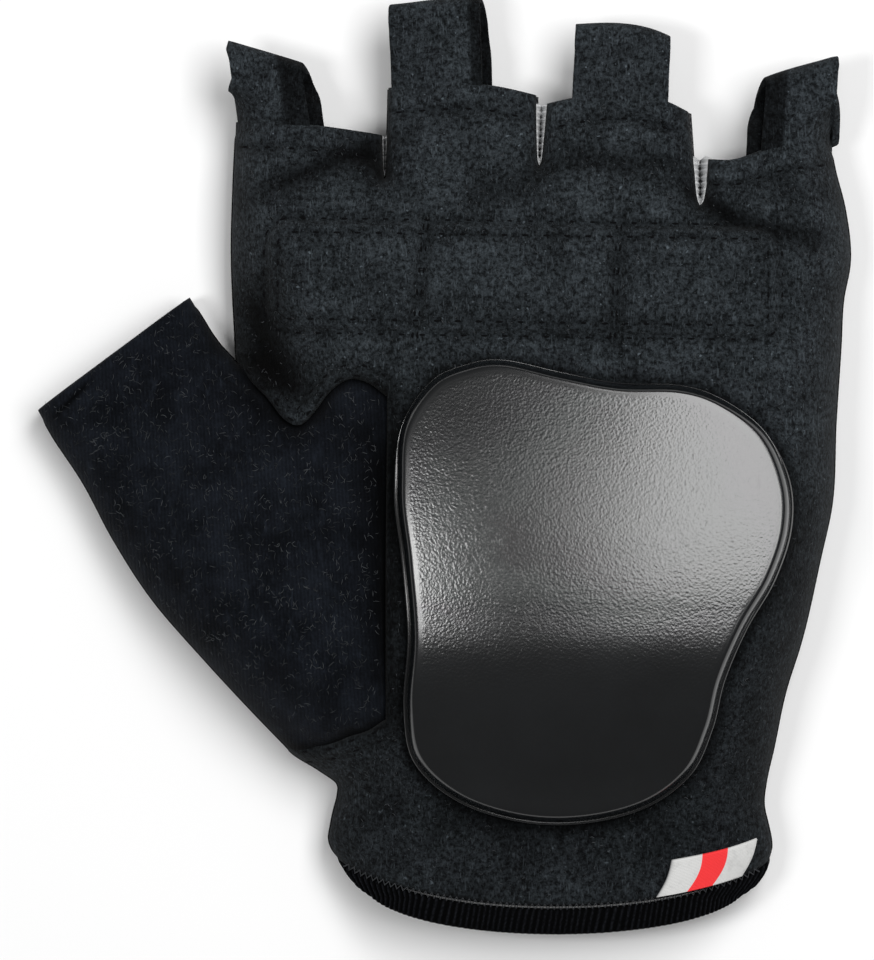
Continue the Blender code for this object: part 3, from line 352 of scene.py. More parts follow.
def web_width(web, up, finger, slit_share):
    """Half of a slit's width: the square root of the way from its foot up to the finger's hem."""
    hem = FINGER_HEMS[finger]["up"][-1 if finger == FINGERS[web - 1] else 0]
    risen = np.clip((up - web_foot(web)) / (hem - web_foot(web)), 0, 1)
    return WEB_SLIT * WEB_SLITS[web - 1] / 2 * slit_share * np.sqrt(risen)


def web_line(web, up):
    """An even share of the cuff's breadth at the wrist, and the web's own line above."""
    left, right = (smooth(edge, "up", "across", up) for edge in (LEFT_EDGE, RIGHT_EDGE))
    even = left + (right - left) * FINGER_SIDES[web]
    own = smooth(WEB_LINES[web - 1], "up", "across", up)
    return even + (own - even) * ease((up - WEB_LINES_FROM) / (WEB_LINES_FULL - WEB_LINES_FROM))


def finger_x(finger, share, up, slit_share):
    """Across the glove at one height, from the left to the right side of one finger's band."""
    number = FINGERS.index(finger)
    if number == 0:
        left = smooth(LEFT_EDGE, "up", "across", up) * KNUCKLE_BREADTH
    else:
        left = web_line(number, up) * KNUCKLE_BREADTH + web_width(number, up, finger, slit_share)
    if number == 3:
        right = smooth(RIGHT_EDGE, "up", "across", up) * KNUCKLE_BREADTH
    else:
        right = web_line(number + 1, up) * KNUCKLE_BREADTH - web_width(number + 1, up, finger, slit_share)
    return left + (right - left) * share


def edge_line(edge, low, high, count=EDGE_POINTS):
    """A stretch of an outline as a polyline, its points evenly spaced up the glove."""
    up = np.linspace(low, high, count)
    return np.stack([smooth(edge, "up", "across", up) * KNUCKLE_BREADTH, up * GLOVE_LENGTH], 1)


def slit_sides(slit_share):
    """Both sides of every slit, each as a polyline from its foot to the hem."""
    lines = []
    for web in (1, 2, 3):
        for finger, share, hem_end in ((FINGERS[web - 1], 1.0, -1), (FINGERS[web], 0.0, 0)):
            hem = FINGER_HEMS[finger]["up"][hem_end]
            up = web_foot(web) + (hem - web_foot(web)) * np.linspace(0, 1, 40) ** 2
            lines.append(np.stack([finger_x(finger, share, up, slit_share), up * GLOVE_LENGTH], 1))
    return lines


OUTLINE = (
    np.concatenate([
        edge_line(LEFT_EDGE, 0.0, THUMB_HEEL_UP),
        edge_line(THUMB_LEFT_EDGE, THUMB_HEEL_UP, THUMB_LEFT_EDGE["up"][-1])[1:],
    ]),
    np.concatenate([
        edge_line(THUMB_RIGHT_EDGE, CROTCH_UP, THUMB_RIGHT_EDGE["up"][-1])[::-1],
        edge_line(LEFT_EDGE, CROTCH_UP, LEFT_EDGE["up"][-1])[1:],
    ]),
    edge_line(RIGHT_EDGE, 0.0, RIGHT_EDGE["up"][-1], 120),
)
PALM_SLITS = slit_sides(1.0)
BACK_SLITS = slit_sides(BACK_SLIT_SHARE)
THUMB_OUTER_TIP = OUTLINE[0][-1]
THUMB_INNER_TIP = OUTLINE[1][0]
HALF_THUMB = np.hypot(*(THUMB_INNER_TIP - THUMB_OUTER_TIP)) / 2


def thumb_place(x, y):
    """Each point's way down the thumb from its opening and aside from its middle, in half thumb widths."""
    across = (THUMB_INNER_TIP - THUMB_OUTER_TIP) / (2 * HALF_THUMB)
    middle = (THUMB_OUTER_TIP + THUMB_INNER_TIP) / 2
    down = (x - middle[0]) * across[1] - (y - middle[1]) * across[0]
    aside = (x - middle[0]) * across[0] + (y - middle[1]) * across[1]
    return down / HALF_THUMB, np.abs(aside) / HALF_THUMB


def crown(x, y):
    """The palm's height well inside the outline, falling to the thumb's own height at its opening."""
    height = smooth(CROWN, "up", "height", y / GLOVE_LENGTH)
    for across, up, radius, rise in MOUNDS.values():
        away = np.hypot(x - across * KNUCKLE_BREADTH, y - up * GLOVE_LENGTH)
        height = height + rise * np.exp(-((away / (radius * KNUCKLE_BREADTH)) ** 2))
    down, aside = thumb_place(x, y)
    on_thumb = (1 - ease(aside - THUMB_SPREAD)) * (1 - ease(down / THUMB_REACH))
    return height * PALM_CROWN * (1 - on_thumb) + THUMB_CROWN * on_thumb


def pad_outside(x, y):
    """How far a point lies outside the pad's outer seam; less than 0 inside it."""
    left, right = PAD_SEAM["left"] * KNUCKLE_BREADTH, PAD_SEAM["right"] * KNUCKLE_BREADTH
    low, high = PAD_SEAM["low"] * GLOVE_LENGTH, PAD_SEAM["high"] * GLOVE_LENGTH
    corner = PAD_SEAM["corner"] * KNUCKLE_BREADTH
    upright = y - PAD_SEAM["lean"] * (x - (left + right) / 2)
    out_x = np.abs(x - (left + right) / 2) - (right - left) / 2 + corner
    out_y = np.abs(upright - (low + high) / 2) - (high - low) / 2 + corner
    beyond = np.hypot(np.maximum(out_x, 0), np.maximum(out_y, 0))
    return beyond + np.minimum(np.maximum(out_x, out_y), 0) - corner


def pad_line(outset, count=320):
    """The pad's seam as a closed polyline, moved out by a distance: a circle whose four quarters are
    pulled apart to the corners."""
    half = np.array([
        (PAD_SEAM["right"] - PAD_SEAM["left"]) * KNUCKLE_BREADTH,
        (PAD_SEAM["high"] - PAD_SEAM["low"]) * GLOVE_LENGTH,
    ]) / 2 + outset
    corner = PAD_SEAM["corner"] * KNUCKLE_BREADTH + outset
    turn = np.linspace(0, 2 * np.pi, count)
    circle = np.stack([np.cos(turn), np.sin(turn)], 1)
    line = np.clip(6 * circle, -1, 1) * (half - corner) + circle * corner
    line[:, 1] += PAD_SEAM["lean"] * line[:, 0]
    middle = [(PAD_SEAM["left"] + PAD_SEAM["right"]) / 2 * KNUCKLE_BREADTH,
              (PAD_SEAM["low"] + PAD_SEAM["high"]) / 2 * GLOVE_LENGTH]
    return line + middle


def divider_line(top, foot, shift=0.0, beyond=1.2 * MM):
    """A seam across the pad, from a little above it to a little below."""
    ends = np.array([
        (foot * KNUCKLE_BREADTH + shift, PAD_SEAM["low"] * GLOVE_LENGTH - beyond),
        (top * KNUCKLE_BREADTH + shift, PAD_SEAM["high"] * GLOVE_LENGTH + beyond),
    ])
    return ends[0] + (ends[1] - ends[0]) * np.linspace(0, 1, 12)[:, None]


DIVIDERS = [divider_line(top, foot) for top, foot in PAD_DIVIDERS]


def pad_relief(x, y):
    """A raised rounded rectangle with two channels across it."""
    relief = ease(-pad_outside(x, y) / PAD_EDGE)
    channels = np.exp(-((distance_to(DIVIDERS, x, y) / DIVIDER_GROOVE) ** 2))
    return relief * (1 - 0.7 * channels) * PAD_RISE


def fold_bells(folds, x, y):
    """For each fold, its depth, its painted shade and a bell-shaped 0 to 1 along a straight line, dying
    out at both ends."""
    for across_0, up_0, across_1, up_1, width, depth, shade in folds.values():
        start = np.array([across_0 * KNUCKLE_BREADTH, up_0 * GLOVE_LENGTH])
        run = np.array([across_1 * KNUCKLE_BREADTH, up_1 * GLOVE_LENGTH]) - start
        along = ((x - start[0]) * run[0] + (y - start[1]) * run[1]) / (run @ run)
        off = ((y - start[1]) * run[0] - (x - start[0]) * run[1]) / np.hypot(*run)
        fade = ease((along / FOLD_FADE + 1) / 2) * ease(((1 - along) / FOLD_FADE + 1) / 2)
        yield depth * MM, shade, fade * np.exp(-((off / (width * MM)) ** 2))


def fold_relief(folds, x, y):
    """The folds' depths added up, as a height below the cloth."""
    return -sum(depth * bell for depth, _, bell in fold_bells(folds, x, y))


def fold_shade(folds, x, y):
    """The folds' painted shade added up: 0 is none, and 1 is black."""
    light = np.ones(np.shape(x))
    for _, shade, bell in fold_bells(folds, x, y):
        light = light * (1 - shade * bell)
    return 1 - light


def palm_height(x, y):
    """The palm's outer surface: from the side seam up a round shoulder to the crown, with its relief."""
    down, aside = thumb_place(x, y)
    on_finger = ease((y / GLOVE_LENGTH - FINGERS_FROM) / (FINGERS_FULL - FINGERS_FROM))
    on_thumb = (1 - ease(down / THUMB_TIP_REACH)) * (aside < THUMB_SPREAD + 0.15)
    radius = PALM_SHOULDER + (FINGER_SHOULDER - PALM_SHOULDER) * np.maximum(on_finger, on_thumb)
    inside = shoulder(distance_to(OUTLINE, x, y) / radius)
    web = 1 - shoulder(distance_to(PALM_SLITS, x, y) / WEB_SHOULDER)
    rise = crown(x, y) + pad_relief(x, y) - SEAM_HEIGHT
    return SEAM_HEIGHT + rise * inside - WEB_DROP * web


def back_height(x, y):
    """The back's outer surface: flat on the table, and up a round shoulder to the side seam."""
    edge = 1 - shoulder(distance_to(OUTLINE, x, y) / BACK_SHOULDER)
    web = 1 - shoulder(distance_to(BACK_SLITS, x, y) / WEB_SHOULDER)
    return np.maximum(SEAM_HEIGHT * edge, WEB_RISE * web)


def cuff_edge(side, bow_share):
    """The wrist opening's edge: half an ellipse from one side seam to the other."""
    return CUFF_CORNER_UP * (1 - bow_share * bow(side))


def hem_row(side, bow_share):
    """The cloth's lower hem: above the wrist opening's edge by the binding's width and a gap."""
    return cuff_edge(side, bow_share) + (BINDING_WIDTH + SEAM_GAP) / GLOVE_LENGTH


def rows_between(knots, counts):
    """Shares from 0 to 1 that pass exactly through each knot."""
    parts = [
        np.linspace(low, high, count, endpoint=False)
        for low, high, count in zip(knots[:-1], knots[1:], counts)
    ]
    return np.append(np.concatenate(parts), knots[-1])


def panel_up(finger, share, row, back):
    """Height up the glove of a grid row, blended between the named rows below and above it."""
    number = FINGERS.index(finger)
    side = FINGER_SIDES[number] + (FINGER_SIDES[number + 1] - FINGER_SIDES[number]) * share
    upper = BACK_UPPER_ROW if back else UPPER_THUMB_SEAM
    levels = [
        hem_row(side, BACK_CUFF_BOW if back else 1.0),
        NECK_UP * (1 - NECK_BOW * bow(side)),
        smooth(LOWER_THUMB_SEAM, "side", "up", side),
        smooth(upper, "side", "up", side),
        np.full(np.shape(side), PAD_LOW),
        np.full(np.shape(side), PAD_HIGH),
        smooth(WEB_ROW, "side", "up", side),
        smooth(FINGER_HEMS[finger], "side", "up", share),
    ]
    up = levels[0]
    for k in range(len(levels) - 1):
        part = np.clip((row - ROW_KNOTS[k]) / (ROW_KNOTS[k + 1] - ROW_KNOTS[k]), 0, 1)
        up = up + (levels[k + 1] - levels[k]) * part
    return up


def panel_plan(finger, cells, rows, back=False):
    """One finger's band seen from above: x and y on a grid, its columns closer at both sides."""
    even, row = np.meshgrid(np.linspace(0, 1, cells + 1), rows)
    share = even - 0.5 * np.sin(2 * np.pi * even) / (2 * np.pi)
    up = panel_up(finger, share, row, back)
    return finger_x(finger, share, up, BACK_SLIT_SHARE if back else 1.0), up * GLOVE_LENGTH


def row_line(finger, row, count=40):
    """A grid row as a polyline."""
    x, y = panel_plan(finger, count, np.array([row, row]))
    return np.stack([x[0], y[0]], 1)


def stand_back(points, distance):
    """A polyline moved to its right by a distance."""
    run = np.gradient(points, axis=0)
    run /= np.hypot(*run.T)[:, None]
    return points + distance * np.stack([run[:, 1], -run[:, 0]], 1)


def cut_out_lines():
    """The palm's cut-out for the thumb: the wave above, the line beside the slider, the heel below."""
    x, y = panel_plan("index", 40, np.linspace(LOWER_SEAM_ROW, UPPER_SEAM_ROW, 40))
    beside = np.stack([x[:, -1], y[:, -1]], 1)
    return row_line("index", UPPER_SEAM_ROW), beside, row_line("index", LOWER_SEAM_ROW)


WAVE, BESIDE, HEEL = cut_out_lines()
HEMS = [row_line(finger, 1.0) for finger in FINGERS]
CUFF = [row_line(finger, 0.0) for finger in FINGERS]
FREE_EDGES = [*HEMS, *PALM_SLITS, WAVE, BESIDE, HEEL, *CUFF]
HEM_STITCHES = [stand_back(hem, HEM_FOLD)[1:-1] for hem in HEMS]
PAD_LINES = [pad_line(0.0), pad_line(-PAD_SEAM_GAP)]
DIVIDER_LINES = [
    divider_line(top, foot, shift) for top, foot in PAD_DIVIDERS for shift in (-0.4 * MM, 0.4 * MM)
]
WAVE_STITCHES = [stand_back(WAVE, -0.7 * MM)[2:-1], stand_back(WAVE, -2.5 * MM)[3:-1]]
HEEL_STITCHES = [stand_back(HEEL, 0.8 * MM)[6:], stand_back(HEEL, 2.6 * MM)[8:]]
BESIDE_STITCHES = [stand_back(BESIDE, 1.0 * MM)]
PALM_STITCHES = [
    *HEM_STITCHES, *PAD_LINES, *DIVIDER_LINES, *WAVE_STITCHES, *HEEL_STITCHES, *BESIDE_STITCHES,
]


def ripple(x, y, longest, seed):
    """A sum of eight sine waves in fixed random directions, each shorter and lower than the last."""
    random = np.random.default_rng(seed)
    total = np.zeros(np.shape(x))
    for k in range(8):
        angle, phase = random.uniform(0, 2 * np.pi, 2)
        wave = longest / 1.28**k
        total += np.sin((x * np.cos(angle) + y * np.sin(angle)) * 2 * np.pi / wave + phase) / 1.2**k
    return total / 3


SLIDER_MIDDLE = np.array([SLIDER_ACROSS * KNUCKLE_BREADTH, SLIDER_UP * GLOVE_LENGTH])


def closed_curve(lookup, columns, count):
    """A smooth closed curve through a table's rows."""
    points = np.stack([lookup[key] for key in columns], 1)
    around = np.concatenate([points[-2:], points, points[:3]])
    keys = np.arange(-2, len(points) + 3, dtype=float)
    at = np.linspace(0, len(points), count, endpoint=False)
    both = [smooth({"key": keys, "value": around[:, k]}, "key", "value", at) for k in (0, 1)]
    return np.stack(both, 1)


def slider_outline(count):
    """The slider's outline from above, as points round it."""
    shares = closed_curve(SLIDER_OUTLINE, ("side", "along"), count)
    return shares * (SLIDER_BREADTH, SLIDER_LENGTH) + SLIDER_MIDDLE


SLIDER_EDGE = slider_outline(90)
SLIDER_EDGE = np.concatenate([SLIDER_EDGE, SLIDER_EDGE[:1]])


def tucked_under(line, distance, corner):
    """A seam's line moved in under the suede, growing to the full distance over its first 4 mm, and
    ending in a corner."""
    length = np.append(0, np.cumsum(np.hypot(*np.diff(line, axis=0).T)))[:, None]
    moved = line + (stand_back(line, distance) - line) * ease(length / (4 * MM))
    return np.concatenate([moved[:-2], corner])


CORNER_ABOVE = (BESIDE[-1] + (THUMB_TUCK, THUMB_TUCK))[None]
CORNER_BELOW = (BESIDE[0] + (THUMB_TUCK, -THUMB_TUCK))[None]
WAVE_TUCKED = tucked_under(WAVE, -THUMB_TUCK, CORNER_ABOVE)
HEEL_TUCKED = tucked_under(HEEL, THUMB_TUCK, CORNER_BELOW)
BESIDE_TUCKED = np.concatenate([CORNER_BELOW, BESIDE[3:-3] + (THUMB_TUCK, 0.0), CORNER_ABOVE])


def stitched_grooves(x, y):
    """0 to 1: a narrow bell along every seam."""
    return np.exp(-((distance_to(PALM_STITCHES, x, y) / SEAM_GROOVE) ** 2))


def dressed_palm(x, y):
    """The palm's height with soft folds, rolled hems and seams, stitched grooves, and edges that curl."""
    edge = distance_to(FREE_EDGES, x, y)
    outline = distance_to(OUTLINE, x, y)
    inside = ease(outline / SEAM_MARGIN)
    ripple_height, longest = PALM_RIPPLE
    ripples = ripple_height * ripple(x, y, longest, 3) * inside * ease(edge / (4 * MM))
    hems = HEM_FOLD_RISE * ease((HEM_FOLD - distance_to(HEMS, x, y)) / (0.9 * MM))
    rolled = distance_to([WAVE, HEEL], x, y)
    roll = ROLL_RISE * np.exp(-(((rolled - ROLL_FROM_EDGE) / ROLL_WIDTH) ** 2))
    groove = SEAM_GROOVE_DEPTH * stitched_grooves(x, y) * ease(outline / (3 * MM))
    curl = HEM_CURL * (1 - shoulder(edge / HEM_CURL))
    relief = ripples + hems + roll + fold_relief(PALM_FOLDS, x, y) * inside
    return palm_height(x, y) + relief - groove - curl


def palm_shade(x, y):
    """The palm's painted shade and shadow: its folds, round the slider, beside the thumb, its lower half.
    """
    # Painted shadow round the slider's edge, painted shade by the seam beside the thumb, and the lower half
    # painted darker
    under = 0.75 * np.exp(-((distance_to([SLIDER_EDGE], x, y) / (1.6 * MM)) ** 2))
    beside = 0.7 * np.exp(-((distance_to([BESIDE], x, y) / (3.5 * MM)) ** 2))
    low = 0.3 * ease((0.56 - y / GLOVE_LENGTH) / 0.16)
    return 1 - (1 - fold_shade(PALM_FOLDS, x, y)) * (1 - under) * (1 - beside) * (1 - low)


def dressed_thumb(x, y):
    """The thumb's height: soft folds, a hem at the opening, and a valley along the seams that let it in."""
    down, aside = thumb_place(x, y)
    seam = distance_to([WAVE, HEEL], x, y)
    beside = distance_to([BESIDE], x, y)
    tucked = distance_to([WAVE_TUCKED[3:], HEEL_TUCKED[3:], BESIDE_TUCKED], x, y)
    from_tip = down * HALF_THUMB
    inside = ease(distance_to(OUTLINE, x, y) / SEAM_MARGIN)
    ripple_height, longest = THUMB_RIPPLE
    ripples = ripple_height * ripple(x, y, longest, 11) * inside * ease(seam / (3 * MM))
    band = THUMB_HEM_RISE * ease((THUMB_HEM - from_tip) / (0.8 * MM))
    curl = HEM_CURL * (1 - shoulder(np.maximum(from_tip, 0) / HEM_CURL))
    dip = BESIDE_DIP * np.exp(-((beside / BESIDE_DIP_WIDTH) ** 2))
    valley = np.maximum(dip, THUMB_DROP * ease((2 * THUMB_TUCK - tucked) / THUMB_TUCK))
    relief = ripples + band + fold_relief(THUMB_FOLDS, x, y) * inside
    return palm_height(x, y) + relief - curl - valley * inside


def thumb_shade(x, y):
    """The thumb's painted shade: its folds, and a narrow line along the seams that let it in."""
    # Painted shade along the seams
    seam = 0.8 * np.exp(-((distance_to([WAVE, HEEL], x, y) / (0.9 * MM)) ** 2))
    return 1 - (1 - fold_shade(THUMB_FOLDS, x, y)) * (1 - seam)


def grid_faces(rows, columns):
    """The quads of a grid whose points are numbered row by row."""
    corner = (np.arange(rows - 1)[:, None] * columns + np.arange(columns - 1)).ravel()
    return np.stack([corner, corner + 1, corner + columns + 1, corner + columns], 1)


def make_object(name, patches, material, attributes=(), weld=0.02 * MM, close=False):
    """One object from grids of points, welded where they meet. Each patch is (points, facing), or
    (points, facing, (u, v)) with its own UV; facing is -1 where the grid's order would face it inwards."""
    points, faces, uvs, count = [], [], [], 0
    for grid, facing, *uv in patches:
        rows, columns = grid.shape[:2]
        grid_uv = np.stack(uv[0], -1) if uv else np.stack(np.meshgrid(
            np.linspace(0, 1, columns), np.linspace(0, 1, rows)), -1)
        points.append(grid.reshape(-1, 3))
        uvs.append(grid_uv.reshape(-1, 2))
        patch = grid_faces(rows, columns) + count
        faces.append(patch if facing > 0 else patch[:, ::-1])
        count += rows * columns
    points, faces, uvs = (np.concatenate(part) for part in (points, faces, uvs))
    mesh = bpy.data.meshes.new(name)
    mesh.vertices.add(len(points))
    mesh.vertices.foreach_set("co", (points + DRAWING_ORIGIN).ravel())
    mesh.loops.add(faces.size)
    mesh.loops.foreach_set("vertex_index", faces.ravel())
    mesh.polygons.add(len(faces))
    mesh.polygons.foreach_set("loop_start", np.arange(0, faces.size, 4))
    mesh.update(calc_edges=True)
    layer = mesh.uv_layers.new(name="surface")
    layer.uv.foreach_set("vector", uvs[faces.ravel()].ravel())
    for label, values in attributes:
        mesh.attributes.new(label, "FLOAT", "POINT").data.foreach_set("value", values.astype(np.float32))
    if weld:
        made = bmesh.new()
        made.from_mesh(mesh)
        bmesh.ops.remove_doubles(made, verts=made.verts, dist=weld)
        if close:
            bmesh.ops.recalc_face_normals(made, faces=made.faces)
        made.to_mesh(mesh)
        made.free()
    mesh.materials.append(material)
    mesh.shade_smooth()
    piece = bpy.data.objects.new(name, mesh)
    bpy.context.scene.collection.objects.link(piece)
    return piece


def give_wall(piece, wall, bevel=0.0):
    """The sheet's wall grows inwards from its outer face; its rim is rounded by a bevel."""
    solid = piece.modifiers.new("wall", "SOLIDIFY")
    solid.thickness = wall
    solid.offset = -1.0
    solid.use_rim = True
    if bevel:
        rim = piece.modifiers.new("rim", "BEVEL")
        rim.width = bevel
        rim.segments = 2
        rim.limit_method = "ANGLE"
        rim.angle_limit = np.radians(50)
    return piece


def belongs(piece, slot, *nodes):
    """The piece rides on the glove, and stands for the solids named."""
    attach(piece, "root")
    if nodes:
        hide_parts(*nodes)
    return piece


class Value:
    """A socket that carries a number; arithmetic on it adds Math nodes to its material."""

    def __init__(self, nodes, socket):
        self.nodes = nodes
        self.socket = socket

    def math(self, operation, *others):
        """One Math node on this number and the others."""
        node = self.nodes.node("Math", {"operation": operation}, dict(enumerate((self, *others))))
        return Value(self.nodes, node.outputs[0])

    def __add__(self, other):
        return self.math("ADD", other)

    __radd__ = __add__

    def __mul__(self, other):
        return self.math("MULTIPLY", other)

    __rmul__ = __mul__

    def __sub__(self, other):
        return self.math("SUBTRACT", other)

    def __rsub__(self, other):
        return (self * -1.0) + other

    def __pow__(self, other):
        return self.math("POWER", other)

    def sine(self):
        """Its sine, an angle in radians."""
        return self.math("SINE")

    def size(self):
        """The number without its sign."""
        return self.math("ABSOLUTE")

    def between(self, low, high):
        """0 below low, 1 above high, and an S-curve between them."""
        node = self.nodes.node("MapRange", {"interpolation_type": "SMOOTHSTEP"}, {
            "Value": self, "From Min": low, "From Max": high,
        })
        return Value(self.nodes, node.outputs["Result"])


class Nodes:
    """One material's nodes."""

    def __init__(self, name):
        self.material = bpy.data.materials.new(name)
        self.material.use_nodes = True
        self.tree = self.material.node_tree
        self.shader = self.tree.nodes["Principled BSDF"]
        self.place = self.node("TexCoord").outputs["Object"]

    def node(self, kind, settings=None, values=None):
        """Adds one node: its type, then its settings, then numbers or links for its sockets."""
        made = self.tree.nodes.new("ShaderNode" + kind)
        for key, setting in (settings or {}).items():
            setattr(made, key, setting)
        self.fill(made, values or {})
        return made

    def fill(self, node, values):
        """Sets each socket to its number, or links it to its value."""
        for key, value in values.items():
            value = value.socket if isinstance(value, Value) else value
            if isinstance(value, bpy.types.NodeSocket):
                self.tree.links.new(value, node.inputs[key])
            else:
                node.inputs[key].default_value = value

    def noise(self, scale, detail=2.0, rough=0.5, stretch=None, turn=0.0, distortion=0.0):
        """Noise on Object coordinates, turned about Z and then scaled along each axis by stretch."""
        place = self.place
        if stretch:
            place = self.node("Mapping", {"vector_type": "POINT"}, {
                "Vector": place, "Rotation": (0.0, 0.0, turn), "Scale": stretch,
            }).outputs[0]
        made = self.node("TexNoise", {"noise_dimensions": "3D"}, {
            "Vector": place, "Scale": scale, "Detail": detail, "Roughness": rough, "Distortion": distortion,
        })
        return Value(self, made.outputs["Fac"])

    def pebbles(self, scale, smoothness):
        """The distance to the nearest of scattered points, blended where two are as near."""
        made = self.node("TexVoronoi", {"feature": "SMOOTH_F1"}, {
            "Vector": self.place, "Scale": scale, "Smoothness": smoothness,
        })
        return Value(self, made.outputs["Distance"])

    def attribute(self, name):
        """The piece's own attribute of that name."""
        made = self.node("Attribute", {"attribute_type": "GEOMETRY", "attribute_name": name})
        return Value(self, made.outputs["Fac"])

    def axes(self, socket=None):
        """The three parts of a vector, or of the place itself."""
        made = self.node("SeparateXYZ", None, {0: socket or self.place})
        return [Value(self, made.outputs[k]) for k in range(3)]

    def uv(self):
        """The two shares of the way over the piece's grid."""
        made = self.node("UVMap", {"uv_map": "surface"})
        return self.axes(made.outputs[0])[:2]

    def colour(self, low, high, factor):
        """A mix of two colours, each a triple or a socket."""
        made = self.node("Mix", {"data_type": "RGBA"}, {0: factor})
        self.fill(made, {6: low if isinstance(low, bpy.types.NodeSocket) else (*low, 1.0),
                         7: high if isinstance(high, bpy.types.NodeSocket) else (*high, 1.0)})
        return made.outputs[2]

    def finish(self, colour, roughness, bumps=(), **constants):
        """Joins up the shader; each bump is (height, distance), the coarsest first."""
        normal = None
        for height, distance in bumps:
            values = {"Height": height, "Distance": distance, "Strength": 1.0}
            if normal is not None:
                values["Normal"] = normal
            normal = self.node("Bump", None, values).outputs[0]
        wanted = {"Base Color": colour, "Roughness": roughness}
        if normal is not None:
            wanted["Normal"] = normal
        wanted.update({key.replace("_", " "): value for key, value in constants.items()})
        self.fill(self.shader, wanted)
        return self.material


def tinted(colour, share):
    """A colour with its channels multiplied, none above 1."""
    return tuple(min(1.0, channel * share) for channel in colour)


def suede_finish(name, colour):
    """Napped suede: fine mottling, short flecks of fibre in four directions, painted shade in folds and
    seams.
    """
    n = Nodes(name)
    patches = n.noise(140, 4, 0.6)
    grain = n.noise(2600, 2, 0.7)
    nap = n.noise(1250, 3, 0.75)
    flecks = [
        n.noise(2500, 1, 0.5, (1.0, 0.25, 0.6), turn).between(0.63, 0.80) for turn in (0.2, 1.0, 1.8, 2.6)
    ]
    fleck = (flecks[0] + flecks[1] + flecks[2] + flecks[3]).math("MINIMUM", 1.0)
    lint = n.noise(1150, 1, 0.5).between(0.72, 0.80)
    # Painted shade: the shade attribute darkens the colour in folds, along seams, round the slider and on
    # the loops' inner sides
    dark = n.attribute("shade")
    light = 1 - dark
    mottle = (patches.between(0.3, 0.72) * 0.5 + 0.5) * (nap.between(0.32, 0.68) * 1.15 + 0.15)
    tone = mottle * (grain * 1.5)
    base = n.colour((0.0, 0.0, 0.0), tinted(colour, 2.8), tone * light * 0.8)
    base = n.colour(base, tinted(colour, 5.0), fleck * 0.34 * light)
    base = n.colour(base, tinted(colour, 9.0), lint * 0.4 * light)
    bumps = (patches, 0.2 * MM), (nap, 0.16 * MM), (grain + fleck * 0.4, 0.14 * MM)
    return n.finish(base, 0.95, bumps, Sheen_Weight=0.02, Sheen_Roughness=0.6, Specular_IOR_Level=0.06)


def stretch_finish(name, colour):
    """Brushed stretch fabric: fine upright wales under a haze of loose fibres."""
    n = Nodes(name)
    x, y, _ = n.axes()
    wales = ((x + y * 0.06) * (2 * np.pi / (0.62 * MM))).sine() * 0.5 + 0.5
    patches = n.noise(120, 4, 0.65)
    grain = n.noise(2700, 2, 0.7)
    haze = n.noise(800, 3, 0.7, (1.0, 0.4, 0.6), 0.8).between(0.50, 0.80)
    fibre = n.noise(1700, 2, 0.5, (1.0, 0.2, 0.4), 2.0, 0.6).between(0.66, 0.78)
    # Painted shade: the shade attribute darkens the colour in folds and along the seams
    light = 1 - n.attribute("shade")
    tone = (patches.between(0.3, 0.72) * 0.7 + 0.35) * (grain * 1.1 + 0.3) * (wales * 0.25 + 0.75)
    base = n.colour((0.0, 0.0, 0.0), tinted(colour, 2.2), tone * light * 0.8)
    base = n.colour(base, tinted(colour, 3.2), (haze * 0.42 + fibre * 0.45) * light)
    bumps = (patches, 0.25 * MM), (wales * 0.3 + grain, 0.16 * MM)
    return n.finish(base, 0.95, bumps, Sheen_Weight=0.015, Sheen_Roughness=0.55, Specular_IOR_Level=0.05)


def back_finish(name, colour):
    """Plain jersey: rows of small V stitches."""
    n = Nodes(name)
    x, y, _ = n.axes()
    column = ((x * (2 * np.pi / (1.5 * MM))).sine()).size()
    chevron = ((y + column * 0.5 * MM) * (2 * np.pi / (1.1 * MM))).sine() * 0.5 + 0.5
    knit = chevron * (column * 0.8 + 0.2)
    patches = n.noise(90, 3)
    fuzz = n.noise(2400, 3, 0.65)
    base = n.colour(tinted(colour, 0.35), tinted(colour, 2.0), knit * 0.5 * (patches + 0.4) + fuzz * 0.25)
    bumps = (knit, 0.25 * MM), (fuzz, 0.1 * MM)
    return n.finish(base, 0.9, bumps, Sheen_Weight=0.2, Specular_IOR_Level=0.3)


def web_finish(name, colour):
    """Ribbed white knit, with painted shade in its grooves, and greyer where it has picked up dirt."""
    n = Nodes(name)
    u, v = n.uv()
    rib = (v * (2 * np.pi)).sine() * 0.5 + 0.5
    yarn = n.noise(1800, 2, 0.6, (1.0, 0.35, 1.0))
    dirt = n.noise(420, 3, 0.6).between(0.4, 0.75)
    # Painted shade: the ribs' grooves are darker grey
    base = n.colour(tinted(colour, 0.45), colour, rib * 0.55 + 0.45)
    base = n.colour(base, tinted(colour, 0.55), dirt * 0.5)
    return n.finish(base, 0.9, ((rib, 0.25 * MM), (yarn, 0.18 * MM)), Sheen_Weight=0.2)


def plastic_finish(name, colour):
    """Moulded plastic with a leather grain that thins out towards the rim."""
    n = Nodes(name)
    rim = n.attribute("rim")
    pebbles = n.pebbles(2300, 0.7)
    worms = n.noise(2100, 1, 0.5, distortion=0.5)
    grain = (pebbles * 0.7 + worms * 0.9) * (1 - rim)
    wear = n.noise(60, 4, 0.6)
    scuff = n.noise(900, 2, 0.6, (1.0, 0.05, 1.0), 0.5).between(0.68, 0.8)
    base = n.colour(tinted(colour, 0.75), tinted(colour, 1.3), wear.between(0.3, 0.7) * 0.7 + worms * 0.3)
    roughness = wear * 0.05 + 0.18 + scuff * 0.04
    return n.finish(base, roughness, ((grain, 0.028 * MM),), Specular_IOR_Level=0.7)


